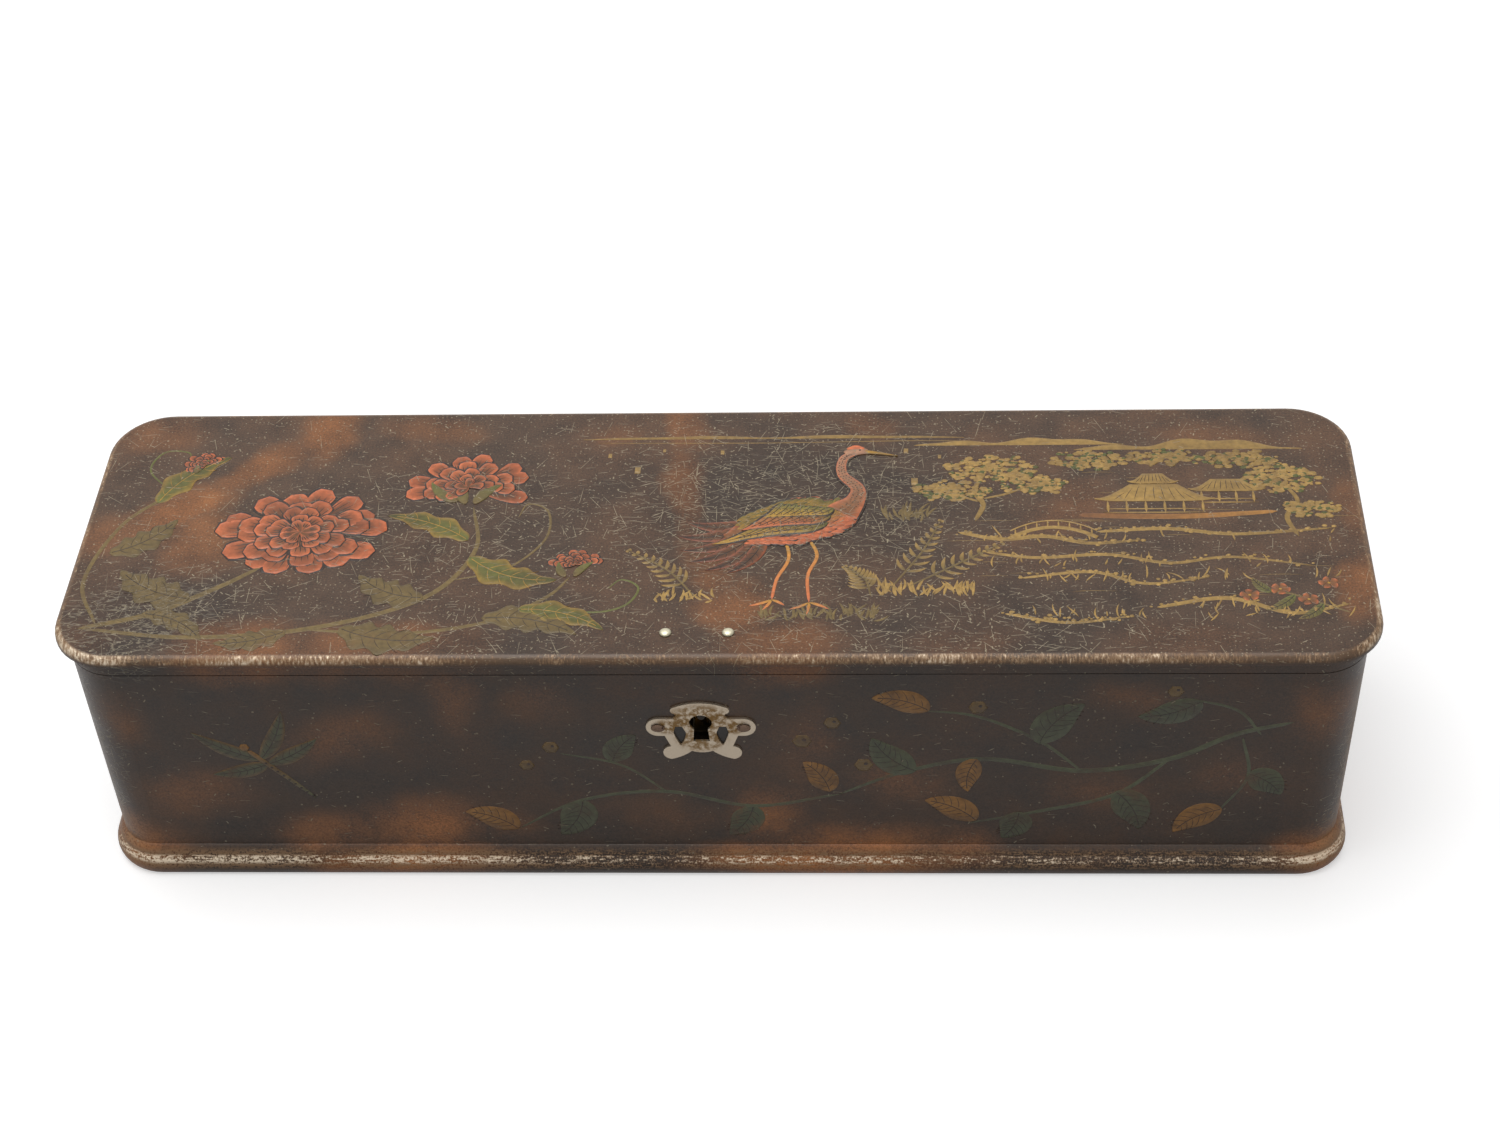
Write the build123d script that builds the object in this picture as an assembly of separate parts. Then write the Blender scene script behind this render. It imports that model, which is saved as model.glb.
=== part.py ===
from build123d import *
import math
import os

# A long lacquered papier-mache box with tapered walls, a moulded base, a lid on two
# stopped butt hinges and a small box lock. Sizes are in millimetres. X runs along the
# front from left to right, Y to the back and Z up, from under the middle of the base.

# Walls, base and lid
wall_length = 294.8  # outer, at the top edge
wall_depth = 83.8
wall_corner_radius = 11.8
wall_thickness = 3.5
wall_taper = 1.8  # how far each wall draws in towards the base
wall_top = 65.6  # height of the walls' top edge above the table
base_height = 8.5
bead_height = 6.0
bead_proud = 2.6
bead_quirk = 1.4  # how far out the cove meets the bead
bead_foot = 1.5  # how far out the bead meets the table
cove_sagitta = 0.4
board_thickness = 3.2
board_rebate = 1.4
board_clearance = 0.1
parting_gap = 0.2
frame_height = 4.0
lid_thickness = 3.2
lid_overhang = 2.6
lid_arris = 1.9
lid_lower_arris = 0.7
edge_share = 0.6  # the most of a thickness that one edge's rounding may take
head_flats = 8  # on the small pins' heads, a whole number
head_slope = 45.0  # degrees
overcut = 1.0  # how far a cut runs past the face that it opens

# Lining and lid pad
card_thickness = 1.2
card_clearance = 0.3
card_drop = 1.0  # how far the wall lining stops under the walls' top edge
pad_thickness = 2.6
pad_edge = 1.6
pad_clearance = 0.5

# Hinges
hinge_from_end = 57.4  # from the walls' end to the hinge's middle
hinge_length = 24.0
hinge_opening = 105.0  # degrees
knuckle_count = 3
barrel_radius = 1.1
hinge_pin_radius = 0.5
running_clearance = 0.03
leaf_thickness = 0.6
leaf_sink = 0.25
leaf_edge_gap = 0.12
wall_leaf_height = 7.5
heel_length = 0.33
leaf_pin_from_middle = 7.5
leaf_pin_head_radius = 0.8
leaf_pin_head_height = 0.35
leaf_pin_width = 0.7
leaf_pin_length = 2.4

# Lock
lock_centre = -2.9  # the lock's middle along the front
key_head_radius = 2.6
key_waist_half_width = 1.45
key_foot_half_width = 1.9
key_slot_depth = 5.9
key_hole_clearance = 0.3
key_post_radius = 0.8
key_post_reach = 1.6  # how far the post stands into the wall's keyhole
key_sweep = 5.4
plate_thickness = 0.8
plate_length = 46.0
plate_below_key = 7.5
flange_depth = 5.0
flange_drop = 0.2
case_margin = 2.5  # how far the plate stands past the case at each end
case_wall = 0.6
case_depth = 3.6  # clear depth between the plate and the case
case_below_key = 6.9
bolt_thickness = 1.0
bolt_travel = 4.0
bolt_end_room = 1.9  # between the bolt at its limits and the case
bolt_web = 11.5
bolt_bar_height = 3.6
bolt_above_key = 4.1
bolt_nose_height = 2.6
talon_width = 4.0
slide_clearance = 0.05
stud_radius = 0.7
stud_left_inset = 7.0
stud_right_room = 1.8  # between the key's notch and the right stud's slot
spring_thickness = 0.3
spring_rise = 1.85  # from the bolt's nose to the flange
spring_inset = 1.0
spring_length = 12.0
spring_gap = 0.2
lock_pin_head_radius = 0.9
lock_pin_head_height = 0.4
lock_pin_width = 0.8
lock_pin_length = 1.6
lock_pin_inset = 1.3
lock_pin_rise = 4.0

# Strike plate, staple and rivets
rivet_spacing = 14.1
rivet_from_wall = 5.9  # from the front wall's outer face
rivet_head_radius = 1.45
rivet_head_height = 0.85
rivet_radius = 0.7
rivet_end = 0.35  # how far a rivet's end stands below the strike plate
strike_length = 20.0
strike_width = 4.3
strike_thickness = 0.8
staple_thickness = 1.6
staple_width = 2.6
staple_leg = 0.6
staple_foot = 1.25
staple_back = 0.3  # how far the staple stands behind the rivet line
staple_clearance = 0.4
window_clearance = 0.3
nose_gap = 0.8

# Escutcheon, drawn about the middle of the key's post
escutcheon_thickness = 0.8
escutcheon_edge = 0.25
edge_slope = 40.0  # degrees
crest_rise = 6.5
crest_half_width = 6.7
crest_end_width = 5.9
crest_end_rise = 5.1
crest_end_low = 3.1
neck_half_width = 5.4
neck_rise = 2.4
arm_centre = 9.8
arm_drop = 1.35
arm_radius = 2.75
arm_root = 6.3
flank_root = 8.4
flank_foot = 7.1
flank_foot_drop = 7.6
lobe_tip = 9.05
lobe_tip_drop = 9.6
lobe_low = 7.2
lobe_low_drop = 11.8
lobe_curve = 4.7
lobe_curve_drop = 10.8
notch_half_width = 2.4
notch_drop = 9.1
chin_drop = 9.6
tear_drop = 7.3
tear_foot = 4.85
tear_left = 3.5
tear_right = 6.35
tear_top_left = 4.25
tear_top_right = 5.8
tear_top_drop = 1.1
tear_wide_drop = 3.0
tear_outer_bow = 0.15
tear_inner_bow = 0.35
escutcheon_pin_head_radius = 1.45
escutcheon_pin_head_height = 0.5
escutcheon_pin_width = 1.1
escutcheon_pin_length = 2.0

# Places worked out from the sizes above
frame_bottom = wall_top + parting_gap
lid_underside = frame_bottom + frame_height
lid_top = lid_underside + lid_thickness
wall_front = wall_depth / 2
taper_slope = wall_taper / (wall_top - base_height)
taper_angle = math.degrees(math.atan(taper_slope))
leaf_seat = wall_front - leaf_sink
hinge_y = leaf_seat + barrel_radius
hinge_z = wall_top + parting_gap / 2
knuckle_length = hinge_length / knuckle_count
plate_seat = -(wall_front - wall_thickness)
plate_face = plate_seat + plate_thickness
case_face = plate_face + case_depth
flange_top = wall_top - flange_drop
flange_under = flange_top - plate_thickness
nose_top = flange_under - spring_rise
nose_low = nose_top - bolt_nose_height
staple_low = nose_low - window_clearance - staple_foot
bar_top = staple_low - staple_clearance
bolt_low = bar_top - bolt_bar_height
key_height = bolt_low - bolt_above_key
case_half = plate_length / 2 - case_margin
bolt_left = case_half - case_wall - bolt_end_room
bolt_right = bolt_left - bolt_travel
stud_left = bolt_left - stud_left_inset
stud_right = talon_width / 2 + stud_right_room + bolt_travel + stud_radius
spring_left = bolt_left - spring_inset
spring_right = spring_left - spring_length
rivet_y = -(wall_front - rivet_from_wall)
staple_y = rivet_y + staple_back
strike_low = lid_underside - strike_thickness


def wall_outline(inset, height):
    """The walls' rounded outline at the top edge, drawn in by an inset, at a height."""
    length = wall_length - 2 * inset
    depth = wall_depth - 2 * inset
    return Pos(0, 0, height) * RectangleRounded(length, depth, wall_corner_radius - inset)


def tapered_core(inset, low, high):
    """A solid between two heights that follows the walls' taper at an inset."""
    low_inset = inset + taper_slope * (wall_top - low)
    return extrude(wall_outline(low_inset, low), high - low, taper=-taper_angle)


def span_box(x0, x1, y0, y1, z0, z1):
    """A box given by its two corners."""
    box = Box(x1 - x0, y1 - y0, z1 - z0, align=(Align.MIN, Align.MIN, Align.MIN))
    return Pos(x0, y0, z0) * box


def cylinder_along(origin, direction, radius, length):
    """A cylinder from a point along a direction."""
    plane = Plane(origin=origin, z_dir=direction)
    return plane * Cylinder(radius, length, align=(Align.CENTER, Align.CENTER, Align.MIN))


def domed_head(radius, height, rings):
    """A low domed head on the ground plane, in a few rings that follow a ball's cap."""
    ball = (radius**2 + height**2) / (2 * height)
    rim_angle = math.asin(radius / ball)
    angles = [rim_angle * (1 - ring / (rings + 1)) for ring in range(rings + 1)]
    cap = [(ball * math.sin(a), ball * math.cos(a) - ball + height) for a in angles]
    profile = make_face(Polyline((0, 0), *cap, (0, cap[-1][1]), close=True))
    return revolve(Plane.XZ * profile, Axis.Z)


def square_hole(origin, inward, width, length):
    """The square hole of a cut pin, from a point along a direction."""
    return extrude(Plane(origin=origin, z_dir=inward) * Rectangle(width, width), length)


def cut_pin(origin, outward, head, width, length):
    """A pin whose head seats at a point, with a square cut shank along a direction."""
    shank = Pos(0, 0, -length) * Box(width, width, length, align=(Align.CENTER, Align.CENTER, Align.MIN))
    return Plane(origin=origin, z_dir=outward) * (head + shank)


def hammered_head(radius, height):
    """A small pin's head, left with eight flats by the hammer."""
    return extrude(RegularPolygon(radius, int(head_flats)), height, taper=head_slope)


def front_plane(height):
    """The plane of the front wall's outer face, at the lock's middle and a height."""
    depth = wall_front - taper_slope * (wall_top - height)
    angle = math.radians(taper_angle)
    normal = (0, -math.cos(angle), -math.sin(angle))
    return Plane(origin=(lock_centre, -depth, height), x_dir=(1, 0, 0), z_dir=normal)


def keyhole_face(clearance):
    """A round keyhole with a slot that widens towards its foot."""
    waist = key_waist_half_width + clearance
    foot = key_foot_half_width + clearance
    depth = key_slot_depth + clearance
    slot = make_face(Polyline((-waist, 0), (waist, 0), (foot, -depth), (-foot, -depth), close=True))
    return Circle(key_head_radius + clearance) + slot


def key_passage(plane, clearance, front, back):
    """The solid that a keyhole cuts, between two distances behind a plane."""
    face = plane.offset(-front) * keyhole_face(clearance)
    return extrude(face, -(back - front))


def lock_plane():
    """The upright plane of the lock plate's front, about the key's post."""
    return Plane(origin=(lock_centre, plate_seat, key_height), x_dir=(1, 0, 0), z_dir=(0, -1, 0))


def hinge_places():
    """The middles of the two hinges along the back."""
    from_middle = wall_length / 2 - hinge_from_end
    return {"left": -from_middle, "right": from_middle}


def leaf_pin_places():
    """The pins' places along one hinge leaf."""
    return [-leaf_pin_from_middle, leaf_pin_from_middle]


def wall_pin_height():
    """The height of the pins through a wall leaf."""
    return hinge_z - (wall_leaf_height + barrel_radius) / 2


def lid_pin_height():
    """The height of the pins through a lid leaf."""
    return (hinge_z + barrel_radius + lid_underside) / 2


def lock_pin_places():
    """The four lock pins, at the plate's ends clear of the case."""
    low = key_height - plate_below_key + lock_pin_rise
    high = flange_under - lock_pin_rise
    side = plate_length / 2 - lock_pin_inset
    return [(lock_centre + s * side, plate_face, z) for s in (-1, 1) for z in (low, high)]


def rivet_places():
    """The two rivets through the lid, on the lid's top."""
    half = rivet_spacing / 2
    return [(lock_centre + s * half, rivet_y, lid_top) for s in (-1, 1)]


def escutcheon_pin_places():
    """The two pins through the escutcheon's arms, as points of its plane."""
    return [(s * arm_centre, -arm_drop) for s in (-1, 1)]


def body_walls():
    """The four walls in one band, with the keyhole and the seats of lock and hinges."""
    walls = tapered_core(0, base_height, wall_top)
    walls -= tapered_core(wall_thickness, base_height, wall_top)
    passage = (-overcut, wall_thickness + overcut)
    walls -= key_passage(front_plane(key_height), key_hole_clearance, *passage)
    low = key_height - plate_below_key
    half = plate_length / 2
    inside = plate_seat + wall_thickness
    walls -= span_box(lock_centre - half, lock_centre + half, plate_seat, inside, low, wall_top)
    for place in hinge_places().values():
        walls -= leaf_seat_cut(place, hinge_z - wall_leaf_height, wall_top)
        walls -= knuckle_groove(place, [0], wall_top - barrel_radius - leaf_edge_gap, wall_top)
        for along in leaf_pin_places():
            origin = (place + along, leaf_seat, wall_pin_height())
            length = leaf_pin_length - leaf_thickness
            walls -= square_hole(origin, (0, -1, 0), leaf_pin_width, length)
    for place in lock_pin_places():
        walls -= square_hole(place, (0, -1, 0), lock_pin_width, lock_pin_length)
    plane = front_plane(key_height)
    for x, y in escutcheon_pin_places():
        depth = escutcheon_pin_length - escutcheon_thickness
        origin = plane.from_local_coords((x, y, 0))
        walls -= square_hole(origin, -plane.z_dir, escutcheon_pin_width, depth)
    return walls


def leaf_seat_cut(place, low, high):
    """The shallow seat of a hinge leaf in the back."""
    half = hinge_length / 2
    return span_box(place - half, place + half, leaf_seat, wall_front + overcut, low, high)


def knuckle_groove(place, knuckles, low, high):
    """Room for the other leaf's knuckles to turn in, in front of the leaf's seat."""
    half = knuckle_length / 2 + leaf_edge_gap
    cuts = []
    for knuckle in knuckles:
        middle = place + knuckle * knuckle_length
        back = wall_front + overcut
        cuts.append(span_box(middle - half, middle + half, leaf_seat - leaf_sink, back, low, high))
    return cuts


def base_moulding():
    """The base ring: a cove under the walls, a bead below it and a rebate for the board."""
    path = wall_outline(wall_taper, 0).face().outer_wire()
    start = path @ 0
    along = path % 0
    outward = along.cross(Vector(0, 0, 1))
    section_plane = Plane(origin=start, x_dir=outward, z_dir=-along)
    bead_middle = (bead_proud, bead_height / 2)
    inner = -wall_thickness
    outline = [
        SagittaArc((0, base_height), (bead_quirk, bead_height), cove_sagitta),
        ThreePointArc((bead_quirk, bead_height), bead_middle, (bead_foot, 0)),
        Polyline(
            (bead_foot, 0),
            (inner + board_rebate, 0),
            (inner + board_rebate, board_thickness),
            (inner, board_thickness),
            (inner, base_height),
            (0, base_height),
        ),
    ]
    return sweep(section_plane * make_face(outline), path=path)


def bottom_board():
    """The board let into the base ring, flush with its underside."""
    inset = wall_taper + wall_thickness - board_rebate + board_clearance
    return extrude(wall_outline(inset, 0), board_thickness)


def floor_lining():
    """The covered card that lies on the bottom board."""
    inset = wall_taper + wall_thickness + card_clearance
    return extrude(wall_outline(inset, board_thickness), card_thickness)


def wall_lining():
    """The covered card round the walls, cut away round the lock."""
    low = board_thickness + card_thickness + card_clearance
    high = wall_top - card_drop
    outer = tapered_core(wall_thickness + card_clearance / 2, low, high)
    inner = tapered_core(wall_thickness + card_clearance / 2 + card_thickness, low, high)
    lining = outer - inner
    half = plate_length / 2 + card_clearance
    bottom = key_height - plate_below_key - card_clearance
    back = plate_seat + wall_thickness + 2 * card_thickness
    front = plate_seat - wall_thickness
    lining -= span_box(lock_centre - half, lock_centre + half, front, back, bottom, wall_top)
    return lining


def lid_panel():
    """The lid board with its rounded rim and the rivets' holes."""
    panel = extrude(wall_outline(-lid_overhang, lid_underside), lid_thickness)
    radius = min(lid_arris, lid_thickness * edge_share)
    panel = fillet(panel.edges().group_by(Axis.Z)[-1], radius)
    lower = min(lid_lower_arris, (lid_thickness - radius) * edge_share)
    panel = chamfer(panel.edges().group_by(Axis.Z)[0], lower)
    for place in rivet_places():
        panel -= cylinder_along(place, (0, 0, -1), rivet_radius, lid_thickness)
    return panel


def lid_frame():
    """The band under the lid board, flush with the walls, with the hinges' seats."""
    band = extrude(wall_outline(0, frame_bottom), frame_height)
    band -= extrude(wall_outline(wall_thickness, frame_bottom), frame_height)
    for place in hinge_places().values():
        band -= leaf_seat_cut(place, frame_bottom, lid_underside)
        groove_top = frame_bottom + barrel_radius + leaf_edge_gap
        band -= knuckle_groove(place, [-1, 1], frame_bottom, groove_top)
        for along in leaf_pin_places():
            origin = (place + along, leaf_seat, lid_pin_height())
            length = leaf_pin_length - leaf_thickness
            band -= square_hole(origin, (0, -1, 0), leaf_pin_width, length)
    return band


def lid_pad():
    """The padded panel inside the lid, soft at its lower edge, cut out for the strike."""
    outline = wall_outline(wall_thickness + pad_clearance, lid_underside - pad_thickness)
    pad = extrude(outline, pad_thickness)
    pad = chamfer(pad.edges().group_by(Axis.Z)[0], min(pad_edge, pad_thickness * edge_share))
    half = strike_length / 2 + pad_clearance
    back = rivet_y + strike_width / 2 + pad_clearance
    low = lid_underside - pad_thickness - overcut
    return pad - span_box(lock_centre - half, lock_centre + half, -wall_front, back, low, lid_underside)


def knuckles(place, indices):
    """Round knuckles at some of the hinge's places, as bars without a bore."""
    bars = []
    length = knuckle_length - leaf_edge_gap
    for index in indices:
        start = place + index * knuckle_length - length / 2
        bars.append(cylinder_along((start, hinge_y, hinge_z), (1, 0, 0), barrel_radius, length))
    return bars


def pin_bore(place):
    """The bore for a hinge pin."""
    start = place - hinge_length
    radius = hinge_pin_radius + running_clearance
    return cylinder_along((start, hinge_y, hinge_z), (1, 0, 0), radius, 2 * hinge_length)


def slot_over(place, indices, low, high):
    """Room in a leaf's edge for the other leaf's knuckles."""
    half = knuckle_length / 2 + leaf_edge_gap / 2
    cuts = []
    for index in indices:
        middle = place + index * knuckle_length
        reach = hinge_length / 2 + leaf_edge_gap
        left = max(middle - half, place - reach)
        right = min(middle + half, place + reach)
        front = leaf_seat - overcut
        back = hinge_y + barrel_radius + overcut
        cuts.append(span_box(left, right, front, back, low, high))
    return cuts


def leaf_holes(place, height):
    """The pin holes through one hinge leaf."""
    holes = []
    for along in leaf_pin_places():
        origin = (place + along, leaf_seat + leaf_thickness, height)
        holes.append(square_hole(origin, (0, -1, 0), leaf_pin_width, leaf_thickness))
    return holes


def wall_leaf(place):
    """The leaf pinned to the back wall, with the two outer knuckles."""
    half = hinge_length / 2 - leaf_edge_gap / 2
    low = hinge_z - wall_leaf_height
    leaf = span_box(place - half, place + half, leaf_seat, leaf_seat + leaf_thickness, low, hinge_z)
    leaf -= slot_over(place, [0], hinge_z - barrel_radius - leaf_edge_gap, hinge_z + overcut)
    leaf += knuckles(place, [-1, 1])
    leaf -= pin_bore(place)
    return leaf - leaf_holes(place, wall_pin_height())


def lid_leaf(place):
    """The leaf pinned to the lid frame, with the middle knuckle and the stop heel."""
    half = hinge_length / 2 - leaf_edge_gap / 2
    high = lid_underside - leaf_edge_gap
    leaf = span_box(place - half, place + half, leaf_seat, leaf_seat + leaf_thickness, hinge_z, high)
    slot_top = hinge_z + barrel_radius + leaf_edge_gap
    leaf -= slot_over(place, [-1, 1], hinge_z - overcut, slot_top)
    leaf += knuckles(place, [0])
    leaf += stop_heel(place)
    leaf -= pin_bore(place)
    return leaf - leaf_holes(place, lid_pin_height())


def stop_heel(place):
    """The heel on the lid's knuckle, which meets the wall leaf when the lid is open."""
    half = (knuckle_length - leaf_edge_gap) / 2
    face = leaf_seat + leaf_thickness + running_clearance
    back = hinge_y + hinge_pin_radius
    low = hinge_z - barrel_radius - leaf_edge_gap - heel_length
    high = hinge_z - hinge_pin_radius
    open_heel = span_box(place - half, place + half, face, back, low, high)
    return open_heel.rotate(Axis((0, hinge_y, hinge_z), (1, 0, 0)), hinge_opening)


def hinge_pin(place):
    """The hinge's pin, cut flush with the knuckles."""
    start = (place - hinge_length / 2, hinge_y, hinge_z)
    return cylinder_along(start, (1, 0, 0), hinge_pin_radius, hinge_length)


def leaf_pins(height):
    """The round-headed pins through the leaves of both hinges, at one height."""
    pins = []
    face = leaf_seat + leaf_thickness
    for place in hinge_places().values():
        for along in leaf_pin_places():
            origin = (place + along, face, height)
            head = hammered_head(leaf_pin_head_radius, leaf_pin_head_height)
            pins.append(cut_pin(origin, (0, 1, 0), head, leaf_pin_width, leaf_pin_length))
    return Compound(pins)


def escutcheon_side(side):
    """The escutcheon's outline on one side, from the crest's end down to the notch."""
    arm_top = arm_radius - arm_drop
    arm_low = -arm_radius - arm_drop
    crest_end = (side * crest_end_width, crest_end_rise)
    crest_tip = (side * crest_half_width, (crest_end_rise + crest_end_low) / 2)
    crest_root = (side * crest_end_width, crest_end_low)
    neck = (side * neck_half_width, neck_rise)
    arm_start = (side * arm_root, arm_top)
    arm_end = (side * arm_centre, arm_top)
    arm_tip = (side * (arm_centre + arm_radius), -arm_drop)
    arm_back = (side * arm_centre, arm_low)
    flank = (side * flank_root, arm_low)
    flank_end = (side * flank_foot, -flank_foot_drop)
    tip = (side * lobe_tip, -lobe_tip_drop)
    low = (side * lobe_low, -lobe_low_drop)
    curve = (side * lobe_curve, -lobe_curve_drop)
    notch = (side * notch_half_width, -notch_drop)
    return [
        ThreePointArc(crest_end, crest_tip, crest_root),
        Polyline(crest_root, neck, arm_start, arm_end),
        ThreePointArc(arm_end, arm_tip, arm_back),
        Polyline(arm_back, flank, flank_end),
        ThreePointArc(flank_end, tip, low),
        ThreePointArc(low, curve, notch),
    ]


def escutcheon():
    """The pierced plate round the keyhole, with a crest, two arms and two lower lobes."""
    crest_ends = [(side * crest_end_width, crest_end_rise) for side in (-1, 1)]
    notches = [(side * notch_half_width, -notch_drop) for side in (-1, 1)]
    crest = ThreePointArc(crest_ends[0], (0, crest_rise), crest_ends[1])
    chin = ThreePointArc(notches[0], (0, -chin_drop), notches[1])
    outline = make_face([crest, chin] + escutcheon_side(-1) + escutcheon_side(1))
    edge = min(escutcheon_edge, escutcheon_thickness * edge_share)
    straight = escutcheon_thickness - edge
    plate = extrude(outline, straight)
    plate += extrude(Pos(0, 0, straight) * outline, edge, taper=edge_slope)
    openings = keyhole_face(0)
    for side in (-1, 1):
        openings += tear_piercing(side)
        pin_place = Pos(side * arm_centre, -arm_drop)
        openings += pin_place * Rectangle(escutcheon_pin_width, escutcheon_pin_width)
    plate -= extrude(openings, escutcheon_thickness)
    return front_plane(key_height) * plate


def tear_piercing(side):
    """The tear-shaped piercing on one side of the keyhole."""
    top_left = (side * tear_top_left, -tear_top_drop)
    top_right = (side * tear_top_right, -tear_top_drop)
    right = (side * tear_right, -tear_wide_drop)
    left = (side * tear_left, -tear_wide_drop)
    foot = (side * tear_foot, -tear_drop)
    return make_face(
        [
            Line(top_left, top_right),
            Line(top_right, right),
            SagittaArc(right, foot, side * tear_outer_bow),
            SagittaArc(foot, left, side * tear_inner_bow),
            Line(left, top_left),
        ]
    )


def escutcheon_pins():
    """The two round-headed pins that hold the escutcheon."""
    plane = front_plane(key_height)
    pins = []
    for x, y in escutcheon_pin_places():
        origin = plane.from_local_coords((x, y, escutcheon_thickness))
        head = domed_head(escutcheon_pin_head_radius, escutcheon_pin_head_height, 2)
        pins.append(
            cut_pin(origin, plane.z_dir, head, escutcheon_pin_width, escutcheon_pin_length)
        )
    return Compound(pins)


def lock_backplate():
    """The lock's plate with its top flange, the keyhole and the slot for the staple."""
    left = lock_centre - plate_length / 2
    right = lock_centre + plate_length / 2
    low = key_height - plate_below_key
    plate = span_box(left, right, plate_seat, plate_face, low, flange_top)
    plate += span_box(left, right, plate_seat, plate_seat + flange_depth, flange_under, flange_top)
    slot_half = staple_thickness / 2 + staple_clearance
    slot_back = staple_y + staple_width / 2 + staple_clearance
    plate -= span_box(
        lock_centre - slot_half,
        lock_centre + slot_half,
        plate_face,
        slot_back,
        flange_under - overcut,
        flange_top + overcut,
    )
    plate -= key_passage(lock_plane(), 0, -overcut, plate_thickness + overcut)
    for place in lock_pin_places():
        plate -= square_hole(place, (0, -1, 0), lock_pin_width, plate_thickness)
    return plate


def lock_case():
    """The shallow pressed cover over the lock's works."""
    left = lock_centre - case_half
    right = lock_centre + case_half
    low = key_height - case_below_key
    case = span_box(left, right, plate_face, case_face + case_wall, low, flange_under)
    return case - span_box(
        left + case_wall,
        right - case_wall,
        plate_face,
        case_face,
        low + case_wall,
        flange_under,
    )


def stud_places():
    """The two studs that the bolt slides on."""
    left_height = (bolt_low + nose_top) / 2
    right_height = bolt_low + bolt_bar_height / 2
    return [(-stud_left, left_height), (stud_right, right_height)]


def bolt_studs():
    """The studs, standing on the lock's plate."""
    length = case_depth - staple_clearance
    studs = []
    for x, z in stud_places():
        origin = (lock_centre + x, plate_face, z)
        studs.append(cylinder_along(origin, (0, 1, 0), stud_radius, length))
    return Compound(studs)


def key_post():
    """The post on the case that a pipe key turns on."""
    length = case_face - plate_seat + key_post_reach
    origin = (lock_centre, case_face, key_height)
    return cylinder_along(origin, (0, -1, 0), key_post_radius, length)


def lock_bolt():
    """The sliding bolt: a lower bar with the key's notch, a web and the nose above."""
    outline = Polyline(
        (-bolt_left, bolt_low),
        (-talon_width / 2, bolt_low),
        (-talon_width / 2, key_height + key_sweep + slide_clearance),
        (talon_width / 2, key_height + key_sweep + slide_clearance),
        (talon_width / 2, bolt_low),
        (bolt_right, bolt_low),
        (bolt_right, bar_top),
        (bolt_web - bolt_left, bar_top),
        (bolt_web - bolt_left, nose_low),
        (-staple_thickness / 2 - nose_gap, nose_low),
        (-staple_thickness / 2 - nose_gap, nose_top),
        (-bolt_left, nose_top),
        close=True,
    )
    face = make_face(outline)
    slot_radius = stud_radius + slide_clearance
    for x, z in stud_places():
        slot = SlotCenterToCenter(bolt_travel, 2 * slot_radius)
        face -= Pos(x - bolt_travel / 2, z) * slot
    plane = Plane(origin=(lock_centre, bolt_back(), 0), x_dir=(1, 0, 0), z_dir=(0, -1, 0))
    return extrude(plane * face, bolt_thickness)


def bolt_back():
    """The bolt's rear face, so that its middle runs through the staple's middle."""
    return staple_y + bolt_thickness / 2


def bolt_spring():
    """The bowed spring that lies on the bolt and bears up against the lock's flange."""
    crown = flange_under - spring_gap
    foot = nose_top
    middle = -(spring_left + spring_right) / 2
    upper = ThreePointArc(
        (-spring_left, foot + spring_thickness),
        (middle, crown),
        (-spring_right, foot + spring_thickness),
    )
    lower = ThreePointArc(
        (-spring_left, foot),
        (middle, crown - spring_thickness),
        (-spring_right, foot),
    )
    ends = [
        Line((side, foot), (side, foot + spring_thickness)) for side in (-spring_left, -spring_right)
    ]
    plane = Plane(origin=(lock_centre, bolt_back(), 0), x_dir=(1, 0, 0), z_dir=(0, -1, 0))
    return extrude(plane * make_face([upper, lower] + ends), bolt_thickness)


def lock_pins():
    """The four pins that hold the lock to the front wall."""
    pins = []
    for place in lock_pin_places():
        head = hammered_head(lock_pin_head_radius, lock_pin_head_height)
        pins.append(cut_pin(place, (0, 1, 0), head, lock_pin_width, lock_pin_length))
    return Compound(pins)


def strike_plate():
    """The plate under the lid that carries the staple."""
    face = Pos(lock_centre, rivet_y, strike_low) * Rectangle(strike_length, strike_width)
    plate = extrude(face, strike_thickness)
    for x, y, _ in rivet_places():
        plate -= cylinder_along((x, y, lid_underside), (0, 0, -1), rivet_radius, strike_thickness)
    return plate


def strike_staple():
    """The loop under the strike plate whose window the bolt's nose enters."""
    half = staple_width / 2
    straight_low = staple_low + half
    outline = [
        Polyline((-half, straight_low), (-half, strike_low), (half, strike_low), (half, straight_low)),
        ThreePointArc((half, straight_low), (0, staple_low), (-half, straight_low)),
    ]
    window_low = nose_low - window_clearance
    window_top = nose_top + window_clearance
    window_height = window_top - window_low
    window = Pos(0, (window_low + window_top) / 2) * Rectangle(2 * (half - staple_leg), window_height)
    face = make_face(outline) - window
    left = lock_centre - staple_thickness / 2
    plane = Plane(origin=(left, staple_y, 0), x_dir=(0, 1, 0), z_dir=(1, 0, 0))
    return extrude(plane * face, staple_thickness)


def strike_rivets():
    """The two rivets whose domed heads show on the lid's top."""
    rivets = []
    for place in rivet_places():
        head = Pos(*place) * domed_head(rivet_head_radius, rivet_head_height, 2)
        length = lid_thickness + strike_thickness + rivet_end
        rivets.append(head + cylinder_along(place, (0, 0, -1), rivet_radius, length))
    return Compound(rivets)


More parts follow.
